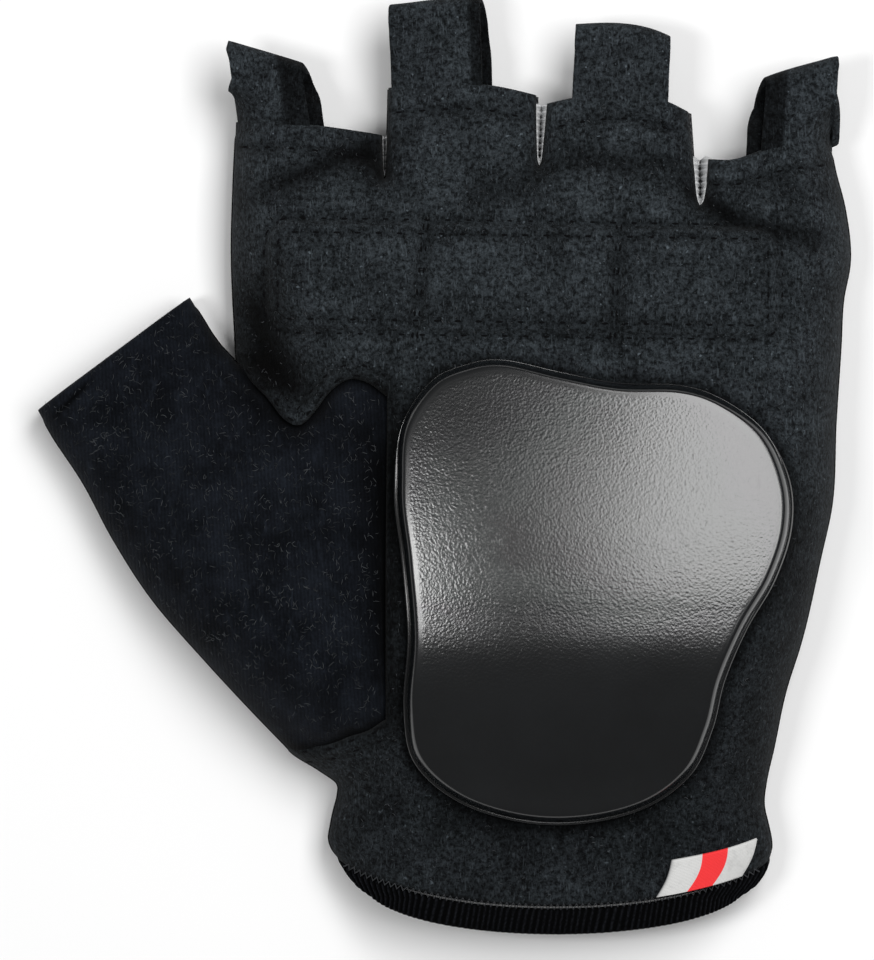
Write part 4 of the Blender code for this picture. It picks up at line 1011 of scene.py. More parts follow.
def elastic_finish(name, colour):
    """Covered elastic: twisted yarns along the ribs, which the mesh has; painted highlights on the rib
    crests.
    """
    n = Nodes(name)
    u, v = n.uv()
    twist = ((u * RIBS_PER_U + v * 5.0) * (2 * np.pi)).sine() * 0.5 + 0.5
    grain = n.noise(2200, 3, 0.7)
    # Painted highlights on the rib crests, and painted shade in the furrows between them
    ridge = n.attribute("rib")
    base = n.colour(tinted(colour, 0.1), tinted(colour, 7.0), (ridge**4.0) * (grain - 0.3) * 1.1)
    return n.finish(base, 0.9, ((twist * 0.3 + grain, 0.16 * MM),), Specular_IOR_Level=0.05)


def tag_finish(name, colour, stripe):
    """A woven ribbon: a red stripe between two white ones, with a fine rib across."""
    n = Nodes(name)
    u, v = n.uv()
    lean = u + (v - 0.5) * (v - 0.5) * 0.07
    red = lean.between(0.375, 0.385) * (1 - lean.between(0.675, 0.685))
    # Painted shade along the tag's cut end
    side = n.attribute("cut")
    pick = (v * (2 * np.pi * 24)).sine() * 0.5 + 0.5
    warp = (u * (2 * np.pi * 46)).sine() * 0.5 + 0.5
    soil = n.noise(700, 3, 0.6).between(0.45, 0.8)
    base = n.colour(colour, stripe, red)
    base = n.colour(base, tinted(colour, 0.55), soil * 0.35 * (1 - red))
    base = n.colour(base, (0.05, 0.05, 0.055), side * 0.85)
    return n.finish(base, 0.75, ((pick * 0.6 + warp * 0.4, 0.05 * MM),), Sheen_Weight=0.05)


def thread_finish(name, colour):
    """Twisted thread: a slanting sine wave round and along it, under a little fuzz."""
    n = Nodes(name)
    u, v = n.uv()
    twist = ((u + v * 3.0) * (2 * np.pi * 2)).sine() * 0.5 + 0.5
    fuzz = n.noise(3000, 2)
    base = n.colour(tinted(colour, 0.5), tinted(colour, 1.6), twist * 0.6 + fuzz * 0.4)
    return n.finish(base, 0.9, ((twist, 0.08 * MM),), Specular_IOR_Level=0.1)


def lint_finish(name, colour):
    """Loose fibres, some dark and some pale."""
    n = Nodes(name)
    patches = n.noise(300, 2)
    base = n.colour(tinted(colour, 0.35), colour, patches.between(0.35, 0.7))
    return n.finish(base, 0.9, (), Specular_IOR_Level=0.1)


def floor_finish(name, colour):
    """Pale paper, all but even."""
    n = Nodes(name)
    patches = n.noise(8, 3)
    base = n.colour(tinted(colour, 0.985), colour, patches)
    return n.finish(base, 0.9, (), Specular_IOR_Level=0.1)


def length_field(name, description, default):
    """A size that the sidebar shows as a length."""
    return bpy.props.FloatProperty(
        name=name, description=description, default=default, unit="LENGTH", precision=5)


def colour_field(name, description, *default):
    """A colour that the sidebar shows as a swatch."""
    return bpy.props.FloatVectorProperty(
        name=name, description=description, default=default, subtype="COLOR")


class GloveSizes(bpy.types.PropertyGroup):
    """Sizes of what the dressing adds."""

    stitch_length: length_field("Stitch length", "Length of one stitch", 1.7 * MM)
    stitch_pitch: length_field("Stitch pitch", "From one stitch to the next", 3.5 * MM)
    thread_radius: length_field("Thread radius", "Half the thread's thickness", 0.19 * MM)
    rib_pitch: length_field(
        "Elastic rib pitch", "From one rib of the cuff's elastic to the next", 1.05 * MM)
    knit_rib: length_field("Knit rib pitch", "From one rib of the white knit to the next", 1.1 * MM)
    lint_count: bpy.props.IntProperty(
        name="Lint fibres", description="Loose fibres on the suede and the thumb", default=3600, min=0)


class GloveColours(bpy.types.PropertyGroup):
    """Colours of the glove's materials."""

    suede: colour_field("Suede", "Palm and pull loops", 0.0180, 0.0218, 0.0248)
    stretch: colour_field("Stretch fabric", "Thumb panel", 0.0056, 0.0070, 0.0098)
    back: colour_field("Back knit", "Back of the hand", 0.018, 0.019, 0.022)
    knit: colour_field("White knit", "Strips between the fingers", 0.80, 0.81, 0.82)
    plastic: colour_field("Slider", "Moulded slider", 0.0040, 0.0046, 0.0052)
    elastic: colour_field("Elastic", "Cuff binding", 0.0040, 0.0044, 0.0055)
    thread: colour_field("Thread", "All stitches", 0.002, 0.002, 0.0025)
    zigzag: colour_field("Zigzag thread", "The stitch over the elastic", 0.035, 0.037, 0.040)
    lint: colour_field("Lint", "Loose fibres", 0.060, 0.065, 0.070)
    tag: colour_field("Tag", "Outer stripes of the tag", 0.66, 0.66, 0.65)
    stripe: colour_field("Tag stripe", "Middle stripe of the tag", 0.93, 0.026, 0.030)
    floor: colour_field("Floor", "The surface that the glove lies on", 0.97, 0.97, 0.97)


def finish_once(name, make, *colours):
    """A material by its name, made the first time that it is asked for."""
    return bpy.data.materials.get(name) or make(name, *[tuple(colour) for colour in colours])


def palm_patches():
    """The palm's grids and their painted shade: each finger's band, the first in two runs above and below
    the cut-out. The rows come closer together towards the finger hems."""
    rows = rows_between(ROW_KNOTS, PALM_ROW_COUNTS)
    web_row = ROW_KNOTS[-2]
    to_hem = np.clip((rows - web_row) / (1 - web_row), 0, 1)
    rows = np.where(rows > web_row, web_row + (1 - web_row) * (1 - (1 - to_hem) ** 1.5), rows)
    patches, shades = [], []
    for finger in FINGERS:
        runs = [rows]
        if finger == "index":
            runs = [rows[rows <= LOWER_SEAM_ROW + 1e-9], rows[rows >= UPPER_SEAM_ROW - 1e-9]]
        for run in runs:
            x, y = panel_plan(finger, PALM_CELLS_ACROSS, run)
            patches.append((np.stack([x, y, dressed_palm(x, y)], -1), 1))
            # Painted shade along the stitched grooves, on top of the palm's painted shade
            seam = 0.35 * stitched_grooves(x, y)
            shades.append((1 - (1 - palm_shade(x, y)) * (1 - seam)).ravel())
    return patches, np.concatenate(shades)


class GLOVE_OT_palm(bpy.types.Operator):
    """The suede palm, with its padded knuckles, turned hems and cut-out for the thumb"""

    bl_idname = "glove.palm"
    bl_label = "Make palm"

    def execute(self, context):
        suede = finish_once("napped_suede", suede_finish, context.scene.glove_colours.suede)
        patches, shade = palm_patches()
        palm = make_object("palm_suede", patches, suede, [("shade", shade)])
        give_wall(palm, CLOTH_WALL)
        belongs(palm, "suede", "palm_panel")
        return {"FINISHED"}


class GLOVE_OT_back(bpy.types.Operator):
    """The plain knit back, flat on the table"""

    bl_idname = "glove.back"
    bl_label = "Make back"

    def execute(self, context):
        knit = finish_once("jersey", back_finish, context.scene.glove_colours.back)
        rows = rows_between(ROW_KNOTS, BACK_ROW_COUNTS)
        patches = []
        for finger in FINGERS:
            x, y = panel_plan(finger, BACK_CELLS_ACROSS, rows, back=True)
            patches.append((np.stack([x, y, back_height(x, y)], -1), -1))
        back = make_object("back_of_hand", patches, knit)
        give_wall(back, CLOTH_WALL)
        belongs(back, "back_knit", "back_panel")
        return {"FINISHED"}


def stretched_grid(left, right, tip, base):
    """A grid of points between four polylines that meet at their ends: the sum of the two ruled
    surfaces between opposite lines, less the surface ruled between their four corners."""
    b = np.linspace(0, 1, len(left))[:, None, None]
    a = np.linspace(0, 1, len(tip))[None, :, None]
    sides = (1 - a) * left[:, None] + a * right[:, None] + (1 - b) * tip[None] + b * base[None]
    corners = (1 - b) * ((1 - a) * tip[0] + a * tip[-1]) + b * ((1 - a) * base[0] + a * base[-1])
    return sides - corners


def run_along(points, shares):
    """Places at given shares of a polyline's length."""
    length = np.append(0, np.cumsum(np.hypot(*np.diff(points, axis=0).T)))
    return np.stack([np.interp(shares * length[-1], length, points[:, k]) for k in (0, 1)], -1)


def eased_steps(count):
    """Shares from 0 to 1, closer together at both ends."""
    even = np.linspace(0, 1, count + 1)
    return even - 0.6 * np.sin(2 * np.pi * even) / (2 * np.pi)


class GLOVE_OT_thumb(bpy.types.Operator):
    """The stretch-fabric thumb, its palm side and its back side"""

    bl_idname = "glove.thumb"
    bl_label = "Make thumb"

    def execute(self, context):
        stretch = finish_once("brushed_stretch", stretch_finish, context.scene.glove_colours.stretch)
        outer = edge_line(THUMB_LEFT_EDGE, THUMB_HEEL_UP, THUMB_LEFT_EDGE["up"][-1])[::-1]
        inner = edge_line(THUMB_RIGHT_EDGE, CROTCH_UP, THUMB_RIGHT_EDGE["up"][-1])[::-1]
        x, y = panel_plan("index", 1, np.linspace(LOWER_SEAM_ROW, UPPER_SEAM_ROW, 80), back=True)
        palm_right = np.concatenate([inner, WAVE_TUCKED[1:]])
        palm_base = np.concatenate([HEEL_TUCKED, BESIDE_TUCKED[1:]])
        back_base = np.stack([x[:, 0], y[:, 0]], 1)
        patches, shades = [], []
        for right, base, height, facing in (
            (palm_right, palm_base, dressed_thumb, -1), (inner, back_base, back_height, 1),
        ):
            left = run_along(outer, eased_steps(THUMB_CELLS_DOWN))
            right = run_along(right, eased_steps(THUMB_CELLS_DOWN))
            base = run_along(base, eased_steps(THUMB_CELLS_ACROSS))
            tip = run_along(np.stack([left[0], right[0]]), eased_steps(THUMB_CELLS_ACROSS))
            plan = stretched_grid(left, right, tip, base)
            patches.append((np.dstack([plan, height(plan[..., 0], plan[..., 1])]), facing))
            shades.append(thumb_shade(plan[..., 0], plan[..., 1]).ravel() * (facing < 0))
        thumb = make_object("thumb_stretch", patches, stretch, [("shade", np.concatenate(shades))])
        give_wall(thumb, CLOTH_WALL)
        belongs(thumb, "stretch_fabric", "thumb_panel")
        return {"FINISHED"}


class GLOVE_OT_webs(bpy.types.Operator):
    """The ribbed knit strips between the fingers"""

    bl_idname = "glove.webs"
    bl_label = "Make webs"

    def execute(self, context):
        knit = finish_once("ribbed_knit", web_finish, context.scene.glove_colours.knit)
        pitch = context.scene.glove_sizes.knit_rib
        for web in (1, 2, 3):
            left, right = FINGERS[web - 1], FINGERS[web]
            along, rise = np.meshgrid(np.linspace(-1, 1, 121), np.linspace(0, 1, 13))
            hem = min(FINGER_HEMS[left]["up"][-1], FINGER_HEMS[right]["up"][0])
            up = web_foot(web) + (hem - web_foot(web)) * along**2
            y = up * GLOVE_LENGTH
            x = [
                np.where(along < 0, finger_x(left, 1.0, up, share), finger_x(right, 0.0, up, share))
                for share in (BACK_SLIT_SHARE, 1.0)
            ]
            low, top = back_height(x[0], y) + SEAM_GAP, palm_height(x[1], y) - WEB_SINK[web - 1]
            # The strip swells into the slit, and its ribs stand out of it
            ribs = y / pitch
            bulge = 0.8 * web_width(web, up, left, 1.0) + 0.15 * MM * np.cos(2 * np.pi * ribs)
            across = x[0] + (x[1] - x[0]) * rise - np.sign(along) * bulge * np.sin(np.pi * rise)
            grid = np.stack([across, y, low + (top - low) * rise], -1)
            piece = make_object(f"white_web_{left}_{right}", [(grid, -1, (rise, ribs))], knit)
            give_wall(piece, WEB_WALL)
            belongs(piece, "white_knit", f"finger_web_{left}_{right}")
        return {"FINISHED"}


def loop_profile(height):
    """The strap's outer side: up out of the palm, round the bend and back to the tuck under the hem.
    Each row is how far out from the hem it lies, and how far above the hem's outer surface."""
    bend = LOOP_BEND_RADIUS
    reach = height - bend
    under = CLOTH_WALL + LOOP_GAP + STRAP_WALL
    turn = np.radians(np.arange(90, -91, -20))
    rows = np.concatenate([
        [(-3.0 * MM, -0.4 * MM), (-1.5 * MM, 0.1 * MM), (0.0, 0.15 * MM)],
        [(0.35 * reach, 0.1 * bend), (0.7 * reach, 0.08 * bend)],
        np.stack([reach + bend * np.cos(turn), bend * np.sin(turn) - bend], 1),
        [(0.62 * reach, -1.97 * bend), (0.28 * reach, -(0.85 * under + 0.3 * bend))],
        [(0.0, -under), (-0.5 * LOOP_TUCK, -under), (-LOOP_TUCK, -under)],
    ])
    length = np.append(0, np.cumsum(np.hypot(*np.diff(rows, axis=0).T)))
    lookup = {"at": length, "out": rows[:, 0], "above": rows[:, 1]}
    fine = np.linspace(0, length[-1], 120)
    return smooth(lookup, "at", "out", fine), smooth(lookup, "at", "above", fine), fine / length[-1]


def hem_y(finger, x):
    """How far up the glove a finger's hem is at a place across it."""
    hem = FINGER_HEMS[finger]
    low = finger_x(finger, 0.0, hem["up"][0], 1.0)
    high = finger_x(finger, 1.0, hem["up"][-1], 1.0)
    return smooth(hem, "side", "up", (x - low) / (high - low)) * GLOVE_LENGTH


def strap_surface(finger, seed):
    """A pull loop's outer side and its painted shade: the strap's profile, carried across its breadth. The
    returning leaf is moved and narrowed to where it is tucked under the hem."""
    loop = LOOPS[finger]
    height = loop["height"] * LOOP_HEIGHT
    out, above, along = loop_profile(height)
    share, row = np.meshgrid(np.linspace(0, 1, 40), np.arange(len(out)))
    out, above, along = out[row], above[row], along[row]
    returning = ease((along - 0.6) / 0.27)
    skewed = ease((along - 0.43) / 0.22) * (1 - returning)
    ahead = np.clip(out / height, 0, 1)
    middle = loop["across"] + (loop["tuck_across"] - loop["across"]) * returning
    breadth = loop["breadth"] + (loop["tuck_breadth"] - loop["breadth"]) * returning
    shift = (share - 0.5) * breadth + loop["skew"] * skewed
    x = middle * KNUCKLE_BREADTH + shift * LOOP_BREADTH + loop["lean"] * height * ahead
    hem = hem_y(finger, x)
    y = hem + out * (1 + loop["slope"] * (2 * share - 1) * ahead)
    # The strap is as round as the finger at the hem, and level out at its tip
    centre = loop["across"] * KNUCKLE_BREADTH
    level = palm_height(centre, hem_y(finger, centre))
    base = palm_height(x, np.minimum(y, hem))
    ripple_height, longest = STRAP_RIPPLE
    wave = ripple_height * ripple(x, out, longest, seed) * ahead
    z = base + (level - base) * ease(ahead / 0.6) + above + wave
    # Painted shade on the strap's inner side where it shows, and on the returning leaf past the bend
    first, last = LOOP_PAINTED_SHADE[finger]
    shaded_inner_side = ease((share - first) / 0.06 + 1) * ease((last - share) / 0.06 + 1) * (last > first)
    shade = np.maximum(0.75 * shaded_inner_side, 0.85 * ease((along - 0.5) / 0.1))
    return np.stack([x, y, z], -1), shade


class GLOVE_OT_loops(bpy.types.Operator):
    """The four folded pull loops"""

    bl_idname = "glove.loops"
    bl_label = "Make pull loops"

    def execute(self, context):
        suede = finish_once("napped_suede", suede_finish, context.scene.glove_colours.suede)
        for number, (finger, loop) in enumerate(LOOPS.items()):
            grid, shade = strap_surface(finger, 21 + number)
            piece = make_object(f"suede_loop_{finger}", [(grid, 1)], suede, [("shade", shade.ravel())])
            give_wall(piece, STRAP_WALL, 0.3 * MM)
            belongs(piece, "loop_suede", f"pull_loop_{finger}")
        return {"FINISHED"}


def slider_surface():
    """The slider's closed skin and how smooth it is: rings from the middle of its underside, up its
    flange and round its edge, a quarter of a circle, to the middle of its top."""
    count = 300
    outline = slider_outline(count)
    run = np.roll(outline, -1, 0) - np.roll(outline, 1, 0)
    inward = np.stack([run[:, 1], -run[:, 0]], 1) / np.hypot(*run.T)[:, None]
    above_middle = (outline[:, 1:] - SLIDER_MIDDLE[1]) / SLIDER_LENGTH
    upper = ease((above_middle - FLANGE_NARROWS_FROM) / FLANGE_NARROWS_OVER)
    flange_width = SLIDER_FLANGE_WIDTH * (FLANGE_SHARE + (UPPER_FLANGE_SHARE - FLANGE_SHARE) * upper)
    # Shares of the flange's width and thickness, from its foot over its round top
    flange = [(0.0, 0.0), (0.0, 0.3), (0.02, 0.55), (0.1, 0.74), (0.3, 0.9), (0.6, 0.96), (0.9, FLANGE_TOP)]
    # Each ring: its plan, its height on the flange, how far it has climbed, and how smooth it is
    from_middle = outline - SLIDER_MIDDLE
    rings = [(SLIDER_MIDDLE + from_middle * share, 0.0, 0.0, 1.0) for share in (0.0, 0.5, 0.9)]
    for inset, rise in flange:
        plan = outline + inward * (inset * flange_width)
        rings.append((plan, rise * SLIDER_FLANGE_THICKNESS, 0.0, 1.0))
    for angle in np.radians(np.linspace(0, 86, 14)):
        away = flange_width + SLIDER_CORNER * CORNER_SHARE * (1 - np.cos(angle))
        rings.append((outline + inward * away, FLANGE_TOP * SLIDER_FLANGE_THICKNESS, np.sin(angle), 1.0))
    edge = rings[-1][0]
    for share in np.linspace(0.985, 0.0, 78):
        smoothness = ease((share - 0.965) / 0.02)
        rings.append((SLIDER_MIDDLE + (edge - SLIDER_MIDDLE) * share, 0.0, 1.0, smoothness))
    plan = np.stack([ring[0] for ring in rings])
    height, climbed, rim = (np.array([ring[k] for ring in rings], float)[:, None] for k in (1, 2, 3))
    # The flange follows the palm; the top is round across, and has the crown's own curve along
    low = palm_height(plan[..., 0], plan[..., 1]) + height
    aside = (plan[..., 0] - SLIDER_MIDDLE[0]) / (SLIDER_BREADTH / 2)
    crest = smooth(CROWN, "up", "height", plan[..., 1] / GLOVE_LENGTH) * PALM_CROWN + SLIDER_THICKNESS
    z = low + (crest + SLIDER_DOME * (1 - aside**2) - low) * climbed + SLIDER_CLEARANCE
    grid = np.dstack([plan, z])
    return np.concatenate([grid, grid[:, :1]], 1), np.repeat(rim.ravel(), count + 1)


class GLOVE_OT_slider(bpy.types.Operator):
    """The moulded slider, its flange, round edge and domed top"""

    bl_idname = "glove.slider"
    bl_label = "Make slider"

    def execute(self, context):
        plastic = finish_once("grained_plastic", plastic_finish, context.scene.glove_colours.plastic)
        grid, rim = slider_surface()
        slider = make_object("slider_shell", [(grid, 1)], plastic, [("rim", rim)], close=True)
        belongs(slider, "slider_plastic", "palm_slider")
        return {"FINISHED"}


def cuff_side(bow_share, height, facing, proud, pitch):
    """The palm's or the back's half of the binding: a flat section with round sides, carried round the
    wrist opening's edge. Its depth follows the ribs, a cosine of the way round with a slow wobble."""
    angle = np.linspace(0, 2 * np.pi, 33)
    wide = 0.5 - 0.5 * np.sign(np.cos(angle)) * np.abs(np.cos(angle)) ** 0.55
    thick = np.sign(np.sin(angle)) * np.abs(np.sin(angle)) ** 0.6
    a, b = np.meshgrid(np.linspace(0, 1, 331), wide)
    out = np.broadcast_to(thick[:, None], a.shape)
    side = a - 0.85 * np.sin(2 * np.pi * a) / (2 * np.pi)
    up = cuff_edge(side, bow_share) + BINDING_WIDTH / GLOVE_LENGTH * (1 - b)
    left, right = (smooth(edge, "up", "across", up) for edge in (LEFT_EDGE, RIGHT_EDGE))
    x, y = (left + (right - left) * side) * KNUCKLE_BREADTH, up * GLOVE_LENGTH
    step = 0.05 * MM
    slope_x = (height(x + step, y) - height(x - step, y)) / (2 * step)
    slope_y = (height(x, y + step) - height(x, y - step)) / (2 * step)
    normal = facing * np.stack([-slope_x, -slope_y, np.ones_like(x)], -1)
    # At both side seams the band stands square to the outline
    normal[:, [0, -1]] = 0.0
    normal[:, 0, :2] = (-GLOVE_LENGTH, np.ptp(left[:, 0]) * -KNUCKLE_BREADTH)
    normal[:, -1, :2] = (GLOVE_LENGTH, np.ptp(right[:, 0]) * -KNUCKLE_BREADTH)
    normal /= np.linalg.norm(normal, axis=-1, keepdims=True)
    arc = np.append(0, np.cumsum(np.hypot(np.diff(x[0]), np.diff(y[0]))))
    wobble = 0.35 * np.sin(arc / (5.1 * MM)) + 0.3 * np.sin(arc / (2.3 * MM) + 1.0)
    phase = arc / pitch + wobble + 0.8 * b
    rib = (0.5 + 0.5 * np.cos(2 * np.pi * phase)) ** 0.7
    depth = (out - 1) * BINDING_WALL / 2 + proud * np.sin(np.pi * a)
    # On the back no rib stands out below the floor
    highest = 1.0 if facing < 0 else 0.6
    outside = (out > -0.2) * ease(np.minimum(a, 1 - a) / 0.03)
    depth = depth + (rib - highest) * RIB_DEPTH * outside
    uv = phase / RIBS_PER_U, b
    return np.stack([x, y, height(x, y)], -1) + normal * depth[..., None], rib, uv


class GLOVE_OT_binding(bpy.types.Operator):
    """The ribbed elastic round the wrist opening"""

    bl_idname = "glove.binding"
    bl_label = "Make cuff binding"

    def execute(self, context):
        elastic = finish_once("covered_elastic", elastic_finish, context.scene.glove_colours.elastic)
        pitch = context.scene.glove_sizes.rib_pitch
        palm, palm_rib, uv = cuff_side(1.0, palm_height, 1, BINDING_PROUD, pitch)
        back, back_rib, _ = cuff_side(BACK_CUFF_BOW, back_height, -1, 0.0, pitch)
        ends = (palm[:, [0, -1]] + back[:, [0, -1]]) / 2
        palm[:, [0, -1]] = ends
        back[:, [0, -1]] = ends
        ribs = np.concatenate([palm_rib.ravel(), back_rib.ravel()])
        patches = [(palm, -1, uv), (back, 1, uv)]
        piece = make_object("cuff_elastic", patches, elastic, [("rib", ribs)], close=True)
        belongs(piece, "elastic", "wrist_binding")
        return {"FINISHED"}


def cuff_hem_y(x):
    """How far up the glove the palm's lower hem is at a place across the cuff."""
    up = CUFF_CORNER_UP
    # The hem's height and the breadth at that height settle within a few rounds
    for _ in range(6):
        left, right = (smooth(edge, "up", "across", up) for edge in (LEFT_EDGE, RIGHT_EDGE))
        up = hem_row((x / KNUCKLE_BREADTH - left) / (right - left), 1.0)
    return up * GLOVE_LENGTH


class GLOVE_OT_tag(bpy.types.Operator):
    """The folded striped tag in the cuff's seam"""

    bl_idname = "glove.tag"
    bl_label = "Make tag"

    def execute(self, context):
        colours = context.scene.glove_colours
        woven = finish_once("woven_ribbon", tag_finish, colours.tag, colours.stripe)
        # Out from the seam on the upper leaf, round the fold, and back on the lower leaf
        bend = TAG_THICKNESS / 2
        turn = np.radians(np.linspace(90, -90, 9))
        ahead = np.linspace(0, TAG_BREADTH - bend, 26)
        out = np.concatenate([ahead, TAG_BREADTH - bend + bend * np.cos(turn[1:-1]), ahead[::-1]])
        upper, lower = np.full(len(ahead), 2 * bend), np.zeros(len(ahead))
        above = np.concatenate([upper, bend + bend * np.sin(turn[1:-1]), lower])
        a, row = np.meshgrid(np.linspace(0, 1, 64), np.arange(len(out)))
        out, above = out[row], above[row]
        b = out / TAG_BREADTH
        foot_x = TAG_ACROSS * KNUCKLE_BREADTH + a * TAG_LENGTH
        x = foot_x + b * TAG_LEAN + 0.45 * MM * np.sin(np.pi * b)
        y = cuff_hem_y(foot_x) + SEAM_GAP + out
        wave = 0.12 * MM * np.sin(a * 9 + b * 2)
        lift = TAG_CLEARANCE + TAG_LIFT * (1 - a) ** 2 + wave + above
        grid = np.stack([x, y, palm_height(x, y) + lift], -1)
        # Where the tag's cut end gets painted shade
        cut = np.exp(-a.ravel() * TAG_LENGTH / (0.25 * MM))
        piece = make_object("striped_tag", [(grid, 1, (a, b))], woven, [("cut", cut)])
        give_wall(piece, TAG_WALL, 0.08 * MM)
        belongs(piece, "tag_weave", "stripe_tag")
        return {"FINISHED"}


def tubes(paths, radius, sides=6):
    """Round threads along paths: paths is (threads, steps, 3) and radius (steps,) or a number. Each ring
    stands square to the path, turned from the upright direction."""
    run = np.gradient(paths, axis=1)
    run /= np.linalg.norm(run, axis=-1, keepdims=True)
    upright = np.broadcast_to((0.0, 0.0, 1.0), run.shape)
    aside = np.cross(run, upright)
    aside /= np.linalg.norm(aside, axis=-1, keepdims=True)
    above = np.cross(aside, run)
    turn = np.linspace(0, 2 * np.pi, sides + 1)
    ring = aside[:, :, None] * np.cos(turn)[:, None] + above[:, :, None] * np.sin(turn)[:, None]
    thick = np.broadcast_to(radius, paths.shape[1:2])[None, :, None, None]
    return paths[:, :, None] + ring * thick


def stitches_along(line, height, length, pitch, radius, lift=0.10 * MM):
    """Stitches on a polyline: each is a thread whose ends dive into the cloth along half a sine wave."""
    total = np.hypot(*np.diff(line, axis=0).T).sum()
    count = max(1, int(total / pitch))
    starts = (np.arange(count) + 0.15) * total / count
    along = np.linspace(0, 1, 7)
    at = (starts[:, None] + along * length) / total
    plan = run_along(line, np.clip(at, 0, 1))
    z = height(plan[..., 0], plan[..., 1]) + (lift + 0.45 * MM) * np.sin(np.pi * along) - 0.45 * MM
    return tubes(np.dstack([plan, z]), radius * (0.55 + 0.45 * np.sin(np.pi * along)))


def join_tubes(name, groups, material):
    """One object out of many tubes of the same make, each a small grid of its own."""
    points, faces, uvs, count = [], [], [], 0
    for group in groups:
        tubes_count, steps, around = group.shape[:3]
        faces_one = grid_faces(steps, around)
        points.append(group.reshape(-1, 3))
        offsets = np.arange(tubes_count)[:, None, None] * steps * around
        faces.append((faces_one[None] + offsets).reshape(-1, 4)[:, ::-1] + count)
        u, v = np.meshgrid(np.linspace(0, 1, around), np.linspace(0, 1, steps))
        uvs.append(np.tile(np.stack([u, v], -1).reshape(-1, 2), (tubes_count, 1)))
        count += tubes_count * steps * around
    points, faces, uvs = (np.concatenate(part) for part in (points, faces, uvs))
    mesh = bpy.data.meshes.new(name)
    mesh.from_pydata(points + DRAWING_ORIGIN, [], faces)
    layer = mesh.uv_layers.new(name="surface")
    layer.uv.foreach_set("vector", uvs[faces.ravel()].ravel())
    mesh.materials.append(material)
    mesh.shade_smooth()
    piece = bpy.data.objects.new(name, mesh)
    bpy.context.scene.collection.objects.link(piece)
    return piece


class GLOVE_OT_stitches(bpy.types.Operator):
    """Stitches of the pad, hems and seams, and the zigzag over the cuff's elastic"""

    bl_idname = "glove.stitches"
    bl_label = "Make stitches"

    def execute(self, context):
        colours, sizes = context.scene.glove_colours, context.scene.glove_sizes
        thread = finish_once("sewing_thread", thread_finish, colours.thread)
        groups = [
            stitches_along(line, dressed_palm, sizes.stitch_length, sizes.stitch_pitch, sizes.thread_radius)
            for line in PALM_STITCHES
        ]
        piece = join_tubes("stitches", groups, thread)
        belongs(piece, "suede")
        cuff = np.concatenate([line[:-1] for line in CUFF])
        teeth = int(np.hypot(*np.diff(cuff, axis=0).T).sum() / ZIGZAG_PITCH) * 2
        middle = run_along(cuff, np.linspace(0.035, 0.965, teeth + 1))
        side = np.where(np.arange(teeth + 1) % 2, -1, 1)[:, None]
        plan = stand_back(middle, side * ZIGZAG_SWING)
        z = palm_height(plan[:, 0], plan[:, 1]) + 0.15 * MM
        path = np.column_stack([plan, z])[None]
        pale_thread = finish_once("zigzag_thread", thread_finish, colours.zigzag)
        zigzag = join_tubes("cuff_zigzag", [tubes(path, ZIGZAG_RADIUS, 5)], pale_thread)
        belongs(zigzag, "elastic")
        return {"FINISHED"}


class GLOVE_OT_side_seam(bpy.types.Operator):
    """The overlocked seam round the glove's sides, between the palm and the back"""

    bl_idname = "glove.side_seam"
    bl_label = "Make side seam"

    def execute(self, context):
        thread = finish_once("sewing_thread", thread_finish, context.scene.glove_colours.thread)
        groups = []
        tops = (None, FINGER_HEMS["index"]["up"][0], FINGER_HEMS["little"]["up"][-1])
        for line, top, side in zip(OUTLINE, tops, (1, 1, -1)):
            keep = line[:, 1] > (CUFF_CORNER_UP * GLOVE_LENGTH + BINDING_WIDTH * 0.6)
            if top:
                keep &= line[:, 1] < top * GLOVE_LENGTH
            line = line[keep]
            length = np.hypot(*np.diff(line, axis=0).T).sum()
            way = np.linspace(0, 1, int(length / OVERLOCK_PITCH))
            plan = stand_back(run_along(line, way), side * 0.35 * MM)
            # The thread goes up and down from one step to the next, and thins out at both ends
            z = SEAM_HEIGHT + 0.22 * MM * np.cos(np.pi * np.arange(len(way)))
            radius = OVERLOCK_RADIUS * ease(np.minimum(way, 1 - way) * length / (3 * MM)) + 0.02 * MM
            groups.append(tubes(np.column_stack([plan, z])[None], radius, 8))
        piece = join_tubes("side_seam", groups, thread)
        belongs(piece, "suede")
        return {"FINISHED"}


def fibres(random, x, y, height, low, high, width):
    """Loose fibres as thin ribbons: each a short arc on the cloth, its curl and turn drawn at random."""
    count = len(x)
    length = random.uniform(low, high, count)[:, None]
    angle = random.uniform(0, 2 * np.pi, count)[:, None]
    curl = random.normal(0, 0.7, count)[:, None]
    way = np.linspace(-0.5, 0.5, 5)
    heading = angle + curl * way
    px = x[:, None] + length * way * np.cos(heading)
    py = y[:, None] + length * way * np.sin(heading)
    lift = random.uniform(0.02, 0.22, count)[:, None] * MM + 0.12 * MM * np.cos(np.pi * way)
    pz = height(px, py) + lift
    half = width * (0.35 + 0.65 * np.cos(np.pi * way * 0.9)) * random.uniform(0.6, 1.3, count)[:, None]
    sx, sy = -np.sin(heading) * half, np.cos(heading) * half
    left = np.stack([px - sx, py - sy, pz], -1)
    right = np.stack([px + sx, py + sy, pz], -1)
    return np.stack([left, right], 2)


def is_inside(x, y, loop):
    """Even-odd count of a closed polyline's edges that lie to the right of each point."""
    x0, y0 = loop[:, 0], loop[:, 1]
    x1, y1 = np.roll(x0, -1), np.roll(y0, -1)
    crosses = (y0 > y[:, None]) != (y1 > y[:, None])
    slope = np.where(y1 == y0, 1, y1 - y0)
    at = x0 + (y[:, None] - y0) / slope * (x1 - x0)
    return (crosses & (at > x[:, None])).sum(1) % 2 == 1


